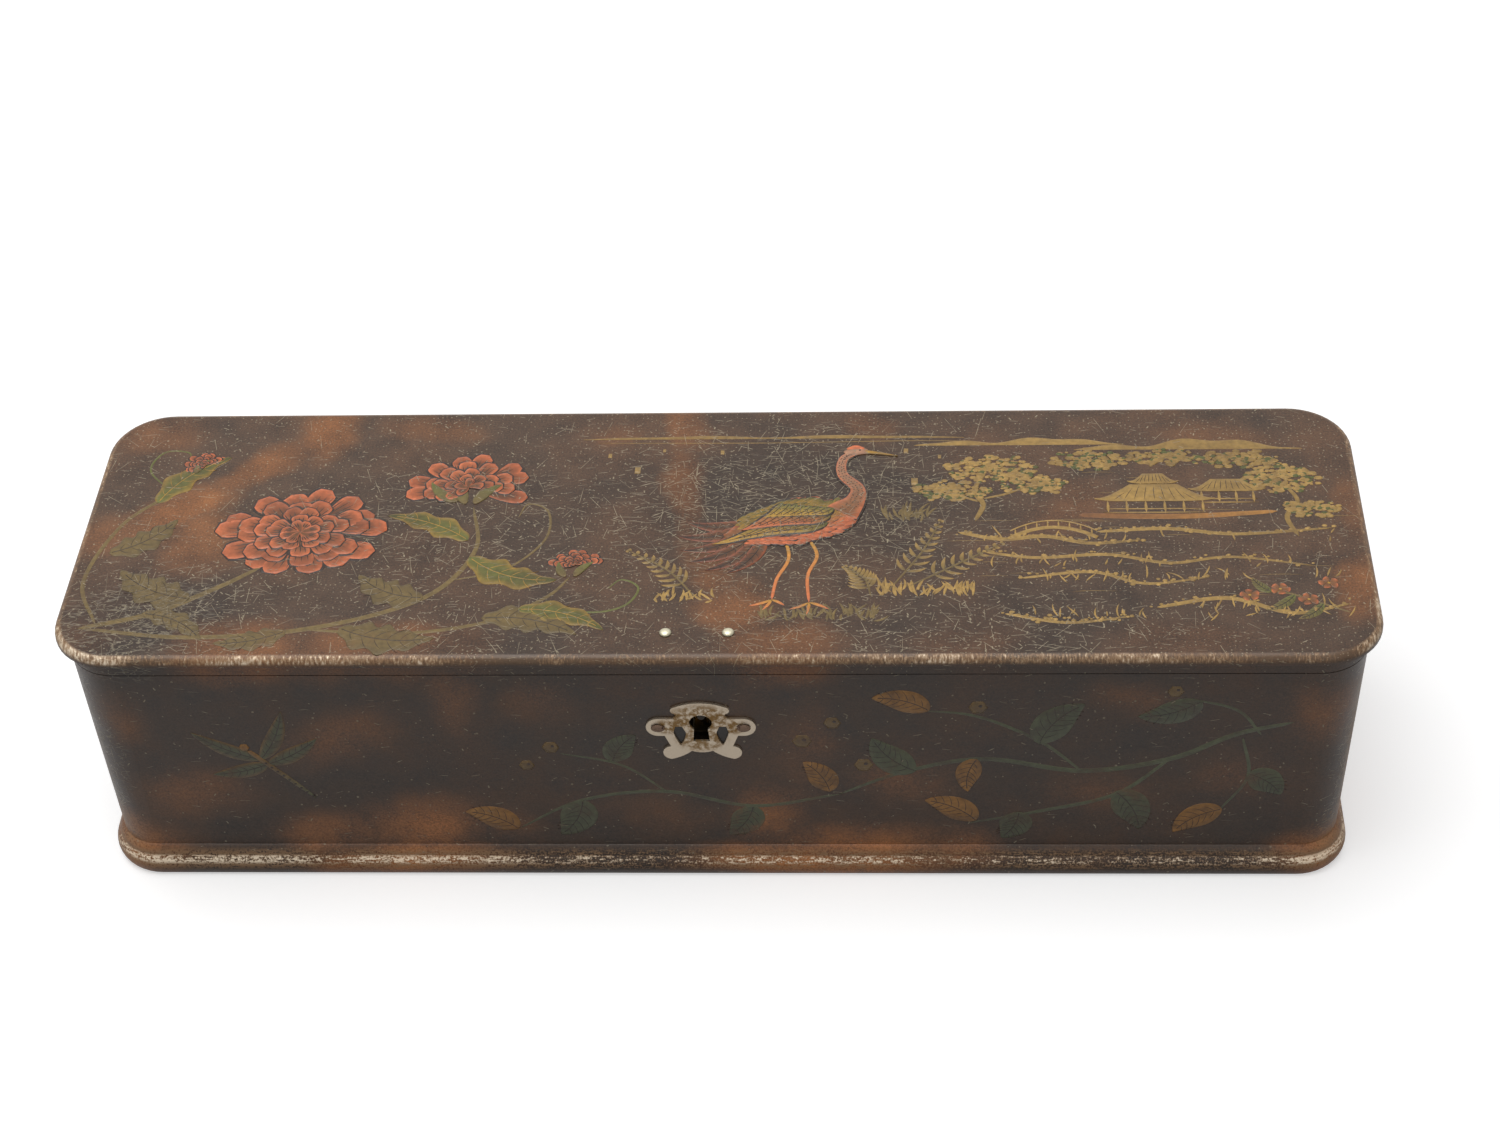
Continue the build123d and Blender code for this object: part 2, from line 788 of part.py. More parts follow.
def all_parts():
    """Every piece by its name."""
    parts = {
        "body_walls": body_walls(),
        "base_moulding": base_moulding(),
        "bottom_board": bottom_board(),
        "floor_lining": floor_lining(),
        "wall_lining": wall_lining(),
        "lid_panel": lid_panel(),
        "lid_frame": lid_frame(),
        "lid_pad": lid_pad(),
        "escutcheon": escutcheon(),
        "escutcheon_pins": escutcheon_pins(),
        "lock_backplate": lock_backplate(),
        "lock_case": lock_case(),
        "bolt_studs": bolt_studs(),
        "key_post": key_post(),
        "lock_bolt": lock_bolt(),
        "bolt_spring": bolt_spring(),
        "lock_pins": lock_pins(),
        "strike_plate": strike_plate(),
        "strike_staple": strike_staple(),
        "strike_rivets": strike_rivets(),
        "hinge_wall_pins": leaf_pins(wall_pin_height()),
        "hinge_lid_pins": leaf_pins(lid_pin_height()),
    }
    for side, place in hinge_places().items():
        parts[f"hinge_{side}_wall_leaf"] = wall_leaf(place)
        parts[f"hinge_{side}_lid_leaf"] = lid_leaf(place)
        parts[f"hinge_{side}_pin"] = hinge_pin(place)
    return parts


os.makedirs("parts", exist_ok=True)
for name, solid in all_parts().items():
    export_step(solid, f"parts/{name}.step")
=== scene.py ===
import math
from functools import partial
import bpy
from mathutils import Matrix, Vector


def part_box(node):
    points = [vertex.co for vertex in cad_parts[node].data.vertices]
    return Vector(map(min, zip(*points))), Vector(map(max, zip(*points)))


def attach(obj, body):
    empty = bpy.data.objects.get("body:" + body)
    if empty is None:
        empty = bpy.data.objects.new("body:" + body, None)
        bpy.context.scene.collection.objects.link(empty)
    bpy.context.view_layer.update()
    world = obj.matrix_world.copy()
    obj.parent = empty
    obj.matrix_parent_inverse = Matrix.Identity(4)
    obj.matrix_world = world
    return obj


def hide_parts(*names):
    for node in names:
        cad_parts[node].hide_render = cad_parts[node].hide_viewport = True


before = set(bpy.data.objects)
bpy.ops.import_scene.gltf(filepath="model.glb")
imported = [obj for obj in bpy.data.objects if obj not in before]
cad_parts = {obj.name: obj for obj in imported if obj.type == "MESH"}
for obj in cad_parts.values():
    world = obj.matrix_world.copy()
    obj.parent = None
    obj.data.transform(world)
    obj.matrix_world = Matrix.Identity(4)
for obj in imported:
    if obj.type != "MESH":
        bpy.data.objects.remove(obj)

from types import SimpleNamespace

import bpy
import numpy as np
from bpy.props import FloatProperty, FloatVectorProperty, IntProperty, PointerProperty
from mathutils import Matrix, Vector

bl_info = {
    "name": "Lacquered glove box",
    "version": (1, 0, 0),
    "blender": (4, 5, 0),
    "location": "View3D > Sidebar > Glove box",
    "description": "Dresses the glove box with lacquer, painting, metalwork and a satin lining",
    "category": "Object",
}

MM = 1000.0
VARNISH_IOR = 1.43  # old oil varnish, a little under the 1.5 of a fresh one
# The CAD nodes' low and high corners, in mm, and the middle of the keyhole plate
LID_LOW, LID_HIGH = np.array(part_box("lid_panel")) * MM
WALL_LOW, WALL_HIGH = np.array(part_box("body_walls")) * MM
_, BASE_HIGH = np.array(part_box("base_moulding")) * MM
LOCK_LOW, LOCK_HIGH = np.array(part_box("lock_backplate")) * MM
STRIKE_LOW, STRIKE_HIGH = np.array(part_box("strike_plate")) * MM
PAD_LOW, PAD_HIGH = np.array(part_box("lid_pad")) * MM
RIVET_LOW, RIVET_HIGH = np.array(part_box("strike_rivets")) * MM
PIN_LOW, PIN_HIGH = np.array(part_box("escutcheon_pins")) * MM
LINING_LOW, LINING_HIGH = np.array(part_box("wall_lining")) * MM
FLOOR_LOW, FLOOR_HIGH = np.array(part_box("floor_lining")) * MM
PLATE_X, _, PLATE_Z = np.array(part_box("escutcheon")).mean(axis=0) * MM
WALL_TAPER = 1.8  # mm that each wall draws in towards the base
WALL_SLOPE = WALL_TAPER / (WALL_HIGH[2] - WALL_LOW[2])
WALL_LEAN = math.atan(WALL_SLOPE)
LID_CORNER, BEAD_CORNER, BEAD_INSET = 14.4, 10.0, 2.6  # mm, of the rim and of the base's bead
# The bead's palest line is a painted highlight over its rubbed wear
BEAD_LEVEL, HIGHLIGHT_LEVEL = 5.2, 5.1  # mm, heights of the bead's rubbed band and of its palest line


def srgb(code):
    """A hex colour turned to linear red, green and blue."""
    values = np.array([int(code[i : i + 2], 16) for i in (0, 2, 4)]) / 255
    return np.where(values <= 0.04045, values / 12.92, ((values + 0.055) / 1.055) ** 2.4)


def hue(name, description, code):
    """A colour that the user can change."""
    return FloatVectorProperty(
        name=name, description=description, subtype="COLOR", size=3, min=0, max=1, default=srgb(code).tolist()
    )


def share(name, description, default):
    """A share from none to all."""
    return FloatProperty(name=name, description=description, subtype="FACTOR", min=0, max=1, default=default)


class GloveBoxLacquer(bpy.types.PropertyGroup):
    """Colours and wear of the mock tortoiseshell lacquer."""

    ground: hue("Ground", "Near-black brown of the lacquer", "4c3829")
    amber: hue("Amber", "Rust and amber of the clouded patches", "855530")
    # The palest rubbed colour, also the painted highlight on the rim's arris and the bead's upper curve
    wear_and_highlight: hue("Worn", "Palest places of the rubbed edges", "f3e2c8")
    golden: hue("Rubbed gold brown", "Where edges are half rubbed through", "a88562")
    hair: hue("Fine cracks", "Dull filling of the fine cracks", "b0a388")
    cracks: share("Cracking", "How much of the lid is finely cracked", 0.8)
    wear: share("Wear", "How far the rim and the bead are rubbed", 0.85)
    crack_spacing: FloatProperty(
        name="Crack spacing", description="Spacing of the fine cracks, in mm", default=1.4, min=0.3
    )


class GloveBoxPainting(bpy.types.PropertyGroup):
    """Colours and relief of the painted and gilt decoration."""

    gold: hue("Bronze gold", "Dull bronze powder of the landscape", "ad8b4e")
    coral: hue("Coral", "Petals' edges and the bird's breast", "e27c50")
    petal: hue("Petal brown", "Inside of the petals", "7e5433")
    olive: hue("Olive", "Stems and the larger leaves", "77633a")
    green: hue("Green", "The fresh leaves and the wing", "686a33")
    yellow: hue("Yellow", "Legs, veins and feather edges", "c4953f")
    outline: hue("Outline", "Dark drawing between the forms", "2a1c13")
    faint_green: hue("Faint green", "Sprig on the front", "62664a")
    faint_orange: hue("Faint orange", "Turning leaves on the front", "b07d40")
    relief: FloatProperty(
        name="Relief", description="Height of one layer of colour, in mm", default=0.05, min=0.01
    )
    rubbing: share("Rubbing", "How much of the colour is rubbed away", 0.3)
    seed: IntProperty(name="Seed", description="Changes the scatter of foliage", default=4)


class GloveBoxMetalwork(bpy.types.PropertyGroup):
    """Colours of the metal pieces."""

    nickel: hue("White metal", "Escutcheon and rivets", "b9ab98")
    tarnish: hue("Tarnish", "Yellow brown stain on the escutcheon", "8c6a38")
    iron: hue("Iron", "Rusty escutcheon pins", "6b584b")
    brass: hue("Brass", "Hinges and lock", "9d8250")
    steel: hue("Steel", "Bolt, spring, staple and hinge pins", "8f8d89")


class GloveBoxLining(bpy.types.PropertyGroup):
    """Colour and size of the satin lining."""

    satin: hue("Satin", "Faded crimson satin", "7c3540")
    thread: FloatProperty(
        name="Thread spacing", default=0.6, min=0.1,
        description="Spacing of the satin's ribs in mm, drawn coarser than the real 0.2",
    )
    fill: share("Fill", "How full the lid's pad is", 0.5)


class GloveBoxStage(bpy.types.PropertyGroup):
    """Floor, light and the camera's lens."""

    key_power: FloatProperty(name="Key light", description="Power of the lamp", unit="POWER", default=15)
    fill_power: FloatProperty(name="Fill light", description="Power of the lamp", unit="POWER", default=1.2)
    sky: FloatProperty(name="Surround", description="Strength of the plain surround", default=0.14)
    lens: FloatProperty(
        name="Lens", description="Focal length on a 36 mm wide sensor", unit="CAMERA", default=69.13
    )


# The setting that a node's kind carries after a space in add
CHOICES = {
    "Attribute": "attribute_name", "MapRange": "interpolation_type", "Mapping": "vector_type",
    "Math": "operation", "Mix": "data_type", "TexVoronoi": "voronoi_dimensions",
    "VectorMath": "operation", "VectorRotate": "rotation_type",
}


def add(tree, kind, *values, out=0, named=None, **settings):
    """Adds a node with its settings, values and links, and returns one of its outputs.

    kind is the node's kind, and after a space its main setting. The values go to the inputs that
    the node then shows, in their order, and the named ones to the inputs of those names.
    """
    kind, _, choice = kind.partition(" ")
    node = tree.nodes.new(kind if kind.startswith("Node") else "ShaderNode" + kind)
    if choice:
        settings[CHOICES[kind]] = choice
    for name, value in settings.items():
        setattr(node, name, value)
    pairs = [*zip([socket for socket in node.inputs if socket.enabled], values)]
    pairs += [(node.inputs[name], value) for name, value in (named or {}).items()]
    for socket, value in pairs:
        if isinstance(value, bpy.types.NodeSocket):
            tree.links.new(value, socket)
        else:
            socket.default_value = value
    if not node.outputs:
        return node
    return node.outputs[out] if out else [socket for socket in node.outputs if socket.enabled][0]


def rgba(colour):
    """A colour with full alpha, as the sockets take it."""
    return (*[float(value) for value in colour], 1.0)


# Places on the lacquer, as soft ellipses in mm: the centre's x, y and z, half sizes, turn in degrees
# about the face's normal, strength. The clouded amber of the lid and of the front:
LID_PATCHES = [
    (x, y, 73, half_x, half_y, 14, turn, strength)
    for x, y, half_x, half_y, turn, strength in [
        (-127, 8, 20, 9, 38, 1.0), (-144, -2, 13, 8, 45, 0.6), (-111, 24, 17, 7, 42, 0.8),
        (-95, 36, 10, 12, -20, 1.0), (-140, 35, 12, 8, 10, 0.5), (-69, 37, 15, 7, 0, 0.5),
        (-26, 35, 9, 7, 0, 0.35), (-8.5, 38, 7, 11, 0, 0.7), (-9, 14, 6, 21, 2, 0.8),
        (-3, -12, 7, 14, 18, 0.85), (5, -29, 12, 13, 30, 1.0), (15, -40, 19, 10, 5, 1.0),
        (-121, -4, 12, 15, -15, 0.75), (-128, -22, 10, 9, 0, 0.35), (-106, -39, 17, 10, 5, 1.0),
        (-78, -39, 26, 10, 0, 0.9), (-58, -38, 13, 8, 0, 0.4), (-142, -36, 10, 10, 0, 0.4),
        (33, 36, 10, 8, 0, 0.4), (84, 8, 15, 9, 30, 0.4), (146, -20, 8, 15, -10, 0.9),
        (147, 8, 6, 15, 0, 0.45), (56, -39, 17, 7, 0, 0.3), (116, 33, 20, 8, 0, 0.35),
        (104, -38, 20, 8, 0, 0.3),
    ]
]
FRONT_PATCHES = [
    (-124, -41, 25, 15, 12, 10, 0, 0.5), (-88, -41, 45, 16, 12, 9, 25, 0.5),
    (-72, -40, 15, 17, 12, 11, 10, 1.1), (-94, -40, 12, 13, 12, 8, 0, 0.7),
    (-60, -41, 58, 8, 12, 15, 0, 0.45), (-38, -41, 56, 10, 12, 8, 0, 0.35),
    (20, -41, 42, 7, 12, 17, 0, 0.35), (12, -41, 19, 11, 12, 12, 0, 0.75),
    (34, -40, 9, 25, 12, 7.5, 0, 0.9), (58, -40, 7, 12, 12, 7, 0, 0.7),
    (43, -41, 31, 13, 12, 9, 0, 0.5), (89, -41, 25, 14, 12, 9, -20, 0.35),
    (97, -41, 56, 14, 12, 6, -15, 0.35), (120, -41, 32, 13, 12, 10, 0, 0.4),
    (137, -41, 52, 9, 12, 11, 0, 0.5), (-14, -41, 19, 15, 12, 10, 0, 0.3),
    (-50, -41, 14, 10, 12, 8, 0, 0.35), (-137, -41, 50, 8, 12, 11, 0, 0.4),
    (-77, -43, 4, 26, 9, 6, 0, 1.3), (24, -43, 4, 34, 9, 6, 0, 1.3),
    (-142, -38, 7, 16, 14, 13, 0, 0.85), (142, -38, 5, 16, 14, 9, 0, 1.2),
]
# Where the rim, the bead and the walls' front corners are rubbed most
RUBBED_PLACES = [
    (-125, -40, 4, 44, 14, 9, 0, 1.3), (-66, -42, 4, 34, 12, 9, 0, 1.15), (24, -42, 4, 36, 12, 9, 0, 0.85),
    (146, -38, 4, 22, 14, 9, 0, 1.3), (-142, -38, 71, 22, 14, 9, 0, 1.2), (-90, -44, 71, 56, 8, 9, 0, 0.95),
    (26, -44, 71, 30, 8, 9, 0, 0.75), (60, -44, 71, 100, 8, 9, 0, 0.88), (60, -42, 4, 90, 12, 9, 0, 0.55),
    (148, -34, 71, 14, 18, 9, 0, 1.0), (150, 10, 71, 8, 40, 9, 0, 0.8), (-148, 10, 71, 8, 40, 9, 0, 0.8),
    (150, -34, 34, 12, 22, 44, 0, 1.05), (-150, -34, 34, 12, 22, 44, 0, 0.9),
]
# The walls' front corners, where hands have rubbed them, with a painted sheen
CORNER_WEAR_AND_SHEEN = [
    (151, -38, 40, 9, 14, 34, 0, 0.8), (-151, -38, 40, 8, 14, 34, 0, 0.45),
    (149, -40, 10, 13, 14, 13, 0, 0.9), (-149, -40, 10, 13, 14, 13, 0, 0.8),
]
# Places with more of the fine cracks
CRACKED_PLACES = [
    (16, 8, 73, 52, 32, 12, 0, 1.0), (12, -38, 73, 24, 10, 12, 0, 0.45), (-126, -28, 73, 26, 18, 12, 0, 0.9),
    (58, -32, 73, 60, 14, 12, 0, 0.4), (-50, -34, 73, 40, 12, 12, 0, 0.35), (147, -36, 38, 8, 14, 34, 0, 0.6),
    (-147, -36, 38, 8, 14, 34, 0, 0.5), (-60, 0, 73, 40, 30, 12, 0, 0.4),
]
# Places where the film stands in wrinkles
WRINKLED_PLACES = [
    (-133, -31, 73, 21, 14, 14, 10, 1.0), (-148, -36, 38, 9, 15, 34, 0, 0.7),
    (149, -35, 34, 8, 15, 34, 0, 0.8),
]
ON_TOP = 70  # mm above the table, over which a patch turns about the lid's normal
WAIT = (1e-7, 1e-7, 1e-7)  # share of one ellipse's sum that goes into a later one's coordinates


def patch_mask(put, places, coords, low, high):
    """How far a point lies in the strongest of several soft ellipses, in mm.

    Cycles holds every value that it can work out early, and has room for 255 numbers. So the
    coordinates of every fourth ellipse wait for the ones before it, by a sum too small to show.
    """
    total = None
    for index, (x, y, z, half_x, half_y, half_z, turn, strength) in enumerate(places):
        if index % 4 == 3:
            coords = put("VectorMath MULTIPLY_ADD", total, WAIT, coords)
        turn = math.radians(turn)
        angle = (0, 0, turn) if z > ON_TOP else (0, -turn, 0)
        local = put("Mapping TEXTURE", coords, (x, y, z), angle, (half_x, half_y, half_z))
        mask = put("MapRange SMOOTHSTEP", put("VectorMath LENGTH", local), high, low, 0, strength)
        total = put("Math MAXIMUM", total, mask) if index else mask
    return total


def rim_distance(put, coords, half_length, half_depth, radius):
    """Distance out of a rounded rectangle: the length of max(|p| - (half - radius), 0) less the radius."""
    away = put("VectorMath ABSOLUTE", coords)
    away = put("VectorMath SUBTRACT", away, (half_length - radius, half_depth - radius, 1e4))
    away = put("VectorMath MAXIMUM", away, (0, 0, 0))
    return put("Math SUBTRACT", put("VectorMath LENGTH", away), radius)


def hair_cracks(put, flat, cell, reach, width, density):
    """Short cracks: in each cell of a Voronoi pattern one straight dash through its point.

    The dash's direction comes from the cell's random colour. A point is in the dash where its
    distance from the line is under the width and its distance along it under the reach.
    """
    cells = put("TexVoronoi 2D", flat, 1 / cell, out="Position")
    random = put("SeparateColor", cells.node.outputs["Color"])
    angle = put("Math MULTIPLY", random, 6.283)
    turned = put("VectorRotate Z_AXIS", put("VectorMath SUBTRACT", flat, cells), (0, 0, 0), angle)
    along = put("SeparateXYZ", put("VectorMath ABSOLUTE", turned))
    ends = put("MapRange SMOOTHSTEP", along, reach, reach * 0.6)
    sides = put("MapRange SMOOTHSTEP", along.node.outputs["Y"], width, width * 0.3)
    chosen = put("Math LESS_THAN", random.node.outputs[1], density)
    return put("Math MULTIPLY", put("Math MULTIPLY", ends, sides), chosen)


def lacquer_ground(lacquer):
    """Node group of the lacquer, which gives its colour, roughness and height to every material on it.

    Mock tortoiseshell, airbrushed amber clouds on near-black brown under varnish. The eye sees soft
    patches, short pale cracks and specks, and a rim and bead rubbed to pale gold brown, whose palest streaks
    are a painted highlight.
    """
    tree = bpy.data.node_groups.new("tortoiseshell ground", "ShaderNodeTree")
    for name in ("Colour", "Roughness", "Height", "Cracks", "Gilt"):
        kind = "NodeSocketColor" if name == "Colour" else "NodeSocketFloat"
        tree.interface.new_socket(name, in_out="OUTPUT", socket_type=kind)
    put = partial(add, tree)
    hair = rgba(lacquer.hair)
    place = put("TexCoord", out="Object")
    mm = put("VectorMath MULTIPLY", place, (MM, MM, MM))
    x, y, z = put("SeparateXYZ", mm).node.outputs
    # Flat coordinates for the cracks and specks: x by y and z together, or y by z on the two ends
    sideways = put("Math ABSOLUTE", put("SeparateXYZ", place.node.outputs["Normal"]))
    sideways = put("Math GREATER_THAN", sideways, 0.7)
    face_on = put("CombineXYZ", x, put("Math ADD", y, z))
    flat = put("Mix VECTOR", sideways, face_on, put("CombineXYZ", y, z))
    # Clouds drift up to 9 mm over 26 mm, and the free ones on the ends and the back are 48 mm apart
    drift = put("TexNoise", mm, 1 / 26, 4.0, out="Color")
    drift = put("VectorMath SUBTRACT", drift, (0.5, 0.5, 0.5))
    swayed = put("VectorMath ADD", mm, put("VectorMath MULTIPLY", drift, (18, 18, 12)))
    clouds = patch_mask(put, LID_PATCHES, swayed, 0.25, 1.15)
    clouds = put("Math MAXIMUM", clouds, patch_mask(put, FRONT_PATCHES, swayed, 0.0, 1.45))
    free = put("TexNoise", swayed, 1 / 48, 1.0)
    free = put("MapRange SMOOTHSTEP", free, 0.5, 0.66, 0, 0.9)
    behind = put("MapRange SMOOTHSTEP", y, -38.0, -30.0)
    below = put("MapRange SMOOTHSTEP", z, 72.0, 69.0)
    free = put("Math MULTIPLY", put("Math MULTIPLY", free, behind), below)
    clouds = put("Math MAXIMUM", clouds, free)
    over_walls = put("MapRange", z, 64.0, 70.0)
    # A faint red brown wash wanders between the clouds, 34 mm across
    wash = put("TexNoise", swayed, 1 / 34, 2.0)
    wash = put("MapRange SMOOTHSTEP", wash, 0.42, 0.62, 0, 0.13)
    tinted = put("Math MAXIMUM", clouds, wash)
    colour = put("Mix RGBA", tinted, rgba(lacquer.ground), rgba(lacquer.amber))
    # The walls' ground is darker than the lid's, and their clouds brighter
    clear = put("Math ADD", put("Math MULTIPLY", clouds, 1.25), 0.62)
    # Uneven depth of the varnish at 9 mm, and a dusty grain of 0.1 mm, drawn at 0.5 mm to show
    depth = put("TexNoise", mm, 1 / 9, 3.0)
    grain = put("TexNoise", mm, 1 / 0.5, 3.0, 0.7)
    shade = put("Math ADD", depth, put("Math MULTIPLY", grain, 1.8))
    shade = put("MapRange", shade, 0.9, 1.9, 0.3, 1.7)
    # Painted shade: the lid's colour is darker towards its front, where it shows less sheen
    lid_front_shade = put("MapRange", y, -44.0, -6.0, 0.76, 1.02)
    shade = put("Math MULTIPLY", shade, put("Mix", over_walls, clear, lid_front_shade))
    colour = put("VectorMath MULTIPLY", colour, shade)
    # Grime, and painted shade under the keyhole plate, darken the lacquer seen through its piercings
    grime_and_shade = patch_mask(put, [(PLATE_X, -41, PLATE_Z - 1, 7.5, 9, 6.5, 0, 0.85)], mm, 0.8, 1.1)
    colour = put("VectorMath MULTIPLY", colour, put("Math SUBTRACT", 1.0, grime_and_shade))
    # The fine cracks, in a film that is darker where there are more of them
    cracked = patch_mask(put, CRACKED_PLACES, swayed, 0.3, 1.2)
    deep = put("MapRange", cracked, 0, 1, 1.0, 0.5)
    colour = put("VectorMath MULTIPLY", colour, deep)
    everywhere = put("MapRange", z, 67.0, 72.0, 0.06, 0.15)
    density = put("Math MULTIPLY", put("Math ADD", cracked, everywhere), lacquer.cracks)
    spacing = lacquer.crack_spacing
    # Outside the cracked places the film has only short hairs that lie along the box
    hairs = put("VectorMath MULTIPLY", flat, (0.45, 1.5, 1.0))
    cracks = hair_cracks(put, hairs, spacing, spacing * 0.5, 0.1, density)
    density = put("Math SUBTRACT", density, 0.05)
    for size, shift in ((2.4, (31.7, 12.3, 0)), (3.1, (7.9, 55.1, 0)), (4.0, (63.3, 80.7, 0))):
        shifted = put("VectorMath ADD", flat, shift)
        long = hair_cracks(put, shifted, spacing * size, spacing * size * 0.9, 0.08, density)
        cracks = put("Math MAXIMUM", cracks, long)
    fading = put("MapRange", put("TexNoise", mm, 1 / 3.5, 2.0), 0.3, 0.6, 0.1, 0.85)
    pale = put("Math MULTIPLY", cracks, fading)
    colour = put("Mix RGBA", pale, colour, hair)
    # The film stands in fine wrinkles 1 mm apart at the lid's left front corner, and faintly at the
    # walls' front corners and elsewhere. Their crests get a painted highlight and their valleys painted shade
    folds = put("VectorMath MULTIPLY", mm, (0.6, 1.3, 1.3))
    folds = put("Math SUBTRACT", put("TexNoise", folds, 1 / 1.8, 1.0), 0.5)
    folds = put("Math ABSOLUTE", folds)
    wrinkled = patch_mask(put, WRINKLED_PLACES, swayed, 0.5, 1.2)
    wrinkled = put("Math MAXIMUM", wrinkled, 0.05)
    # Painted highlight on the wrinkles' crests, painted shade in their valleys
    lit_crests = put("MapRange SMOOTHSTEP", folds, 0.045, 0.005, 0, 0.4)
    lit_crests = put("Math MULTIPLY", lit_crests, wrinkled)
    shaded_valleys = put("Math MULTIPLY_ADD", wrinkled, -0.22, 1.0)
    colour = put("Mix RGBA", lit_crests, put("VectorMath MULTIPLY", colour, shaded_valleys), hair)
    # Specks of dust in the varnish: large ones 3.4 mm apart, fine ones 1.1 mm apart on the lid
    above = put("MapRange", z, 68.0, 72.0, 0.93, 0.42)
    for apart, largest, least in ((3.4, 0.085, 0.8), (1.1, 0.19, above)):
        dust = put("TexVoronoi 2D", flat, 1 / apart, out="Distance")
        random = put("SeparateColor", dust.node.outputs["Color"])
        dust = put("Math LESS_THAN", dust, put("MapRange", random, least, 1.0, 0, largest))
        colour = put("Mix RGBA", put("Math MULTIPLY", dust, 0.5), colour, hair)
    # Rubbed edges: the lid's rim, the base's bead and the walls' front corners
    rim = rim_distance(put, mm, LID_HIGH[0], LID_HIGH[1], LID_CORNER)
    rim = put("MapRange SMOOTHSTEP", rim, -1.9, -1.1)
    over = put("MapRange SMOOTHSTEP", z, LID_LOW[2] + 1.0, LID_LOW[2] + 2.0)
    rim = put("Math MULTIPLY", rim, over)
    bead = rim_distance(put, mm, BASE_HIGH[0] - BEAD_INSET, BASE_HIGH[1] - BEAD_INSET, BEAD_CORNER)
    bead = put("MapRange SMOOTHSTEP", bead, 0.3, 1.4)
    under = put("Math ABSOLUTE", put("Math SUBTRACT", z, BEAD_LEVEL))
    bead = put("Math MULTIPLY", bead, put("MapRange SMOOTHSTEP", under, 3.6, 1.0))
    edges = put("Math MAXIMUM", rim, bead)
    edges = put("Math MAXIMUM", edges, patch_mask(put, CORNER_WEAR_AND_SHEEN, mm, 0.3, 1.1))
    most = put("Math MAXIMUM", patch_mask(put, RUBBED_PLACES, mm, 0.4, 1.1), 0.6)
    # Rubbing shows as fine ticks 0.6 mm wide and 1.6 mm tall on the rim and corners, and as streaks
    # 2 mm long on the bead
    across = put("TexNoise", put("VectorMath MULTIPLY", mm, (1.0, 0.35, 0.35)), 1 / 0.55, 3.0, 0.65)
    across = put("Math MULTIPLY_ADD", across, 0.35, 0.325)
    along = put("TexNoise", put("VectorMath MULTIPLY", mm, (0.35, 0.35, 2.0)), 1 / 0.8, 4.0, 0.7)
    along = put("Math MULTIPLY_ADD", put("Mix", 0.5, along, grain), 1.7, -0.35)
    streaks = put("Mix", put("Math LESS_THAN", z, 20.0), across, along)
    broad = put("TexNoise", mm, 1 / 14, 1.0)
    reach = put("Math ADD", put("Math MULTIPLY", streaks, 5.5), broad)
    reach = put("Math ADD", reach, most)
    rubbed = put("MapRange SMOOTHSTEP", reach, 3.7, 4.4)
    rubbed = put("Math MULTIPLY", rubbed, edges)
    # A faint painted highlight all along the rim's arris
    rubbed = put("Math MAXIMUM", rubbed, put("Math MULTIPLY", rim, 0.2))
    rubbed = put("Math MULTIPLY", rubbed, lacquer.wear)
    # The palest streaks, rubbed wear with a painted highlight, keep to the rim's arris and to the bead's
    # upper curve, where the light falls most
    highlight_band = put("Math ABSOLUTE", put("Math SUBTRACT", z, HIGHLIGHT_LEVEL))
    highlight_band = put("Math MAXIMUM", put("MapRange SMOOTHSTEP", highlight_band, 1.4, 0.3), rim)
    worn_highlight = put("Math MULTIPLY", put("MapRange SMOOTHSTEP", reach, 4.1, 4.75), highlight_band)
    wear_and_highlight = put("Mix RGBA", worn_highlight, rgba(lacquer.golden), rgba(lacquer.wear_and_highlight))
    colour = put("Mix RGBA", rubbed, colour, wear_and_highlight)
    # Bronze powder of the old gilding shows through in the palest streaks and catches the light
    gilt = put("Math MULTIPLY", put("Math MULTIPLY", worn_highlight, rubbed), 0.6)
    rough = put("Math MULTIPLY", rubbed, 0.2)
    rough = put("Math ADD", rough, put("MapRange", depth, 0.3, 0.7, 0.3, 0.42))
    height = put("Math MULTIPLY_ADD", lit_crests, 14.0, grain)
    height = put("Math MULTIPLY_ADD", cracks, -0.6, height)
    height = put("Math SUBTRACT", height, put("Math MULTIPLY", rubbed, streaks))
    put("NodeGroupOutput", colour, rough, height, pale, gilt)
    return tree


def fresh_material(name):
    """An empty node material, and the function that adds to it."""
    material = bpy.data.materials.new(name)
    material.use_nodes = True
    material.node_tree.nodes.clear()
    return material, partial(add, material.node_tree)


def finish_surface(put, inputs, height=None, distance=0.00002):
    """Ends a material with the surface shader and, where given, a bump in metres."""
    if height is not None:
        inputs["Normal"] = put("Bump", named={"Height": height, "Distance": distance})
    put("OutputMaterial", put("BsdfPrincipled", named=inputs))


def ground_in(put):
    """The outputs of the lacquer's node group, placed in a material."""
    return put("Group", node_tree=bpy.data.node_groups["tortoiseshell ground"]).node.outputs


def object_mm(put, stretch=(1, 1, 1)):
    """Object coordinates in mm."""
    return put("VectorMath MULTIPLY", put("TexCoord", out="Object"), tuple(MM * s for s in stretch))


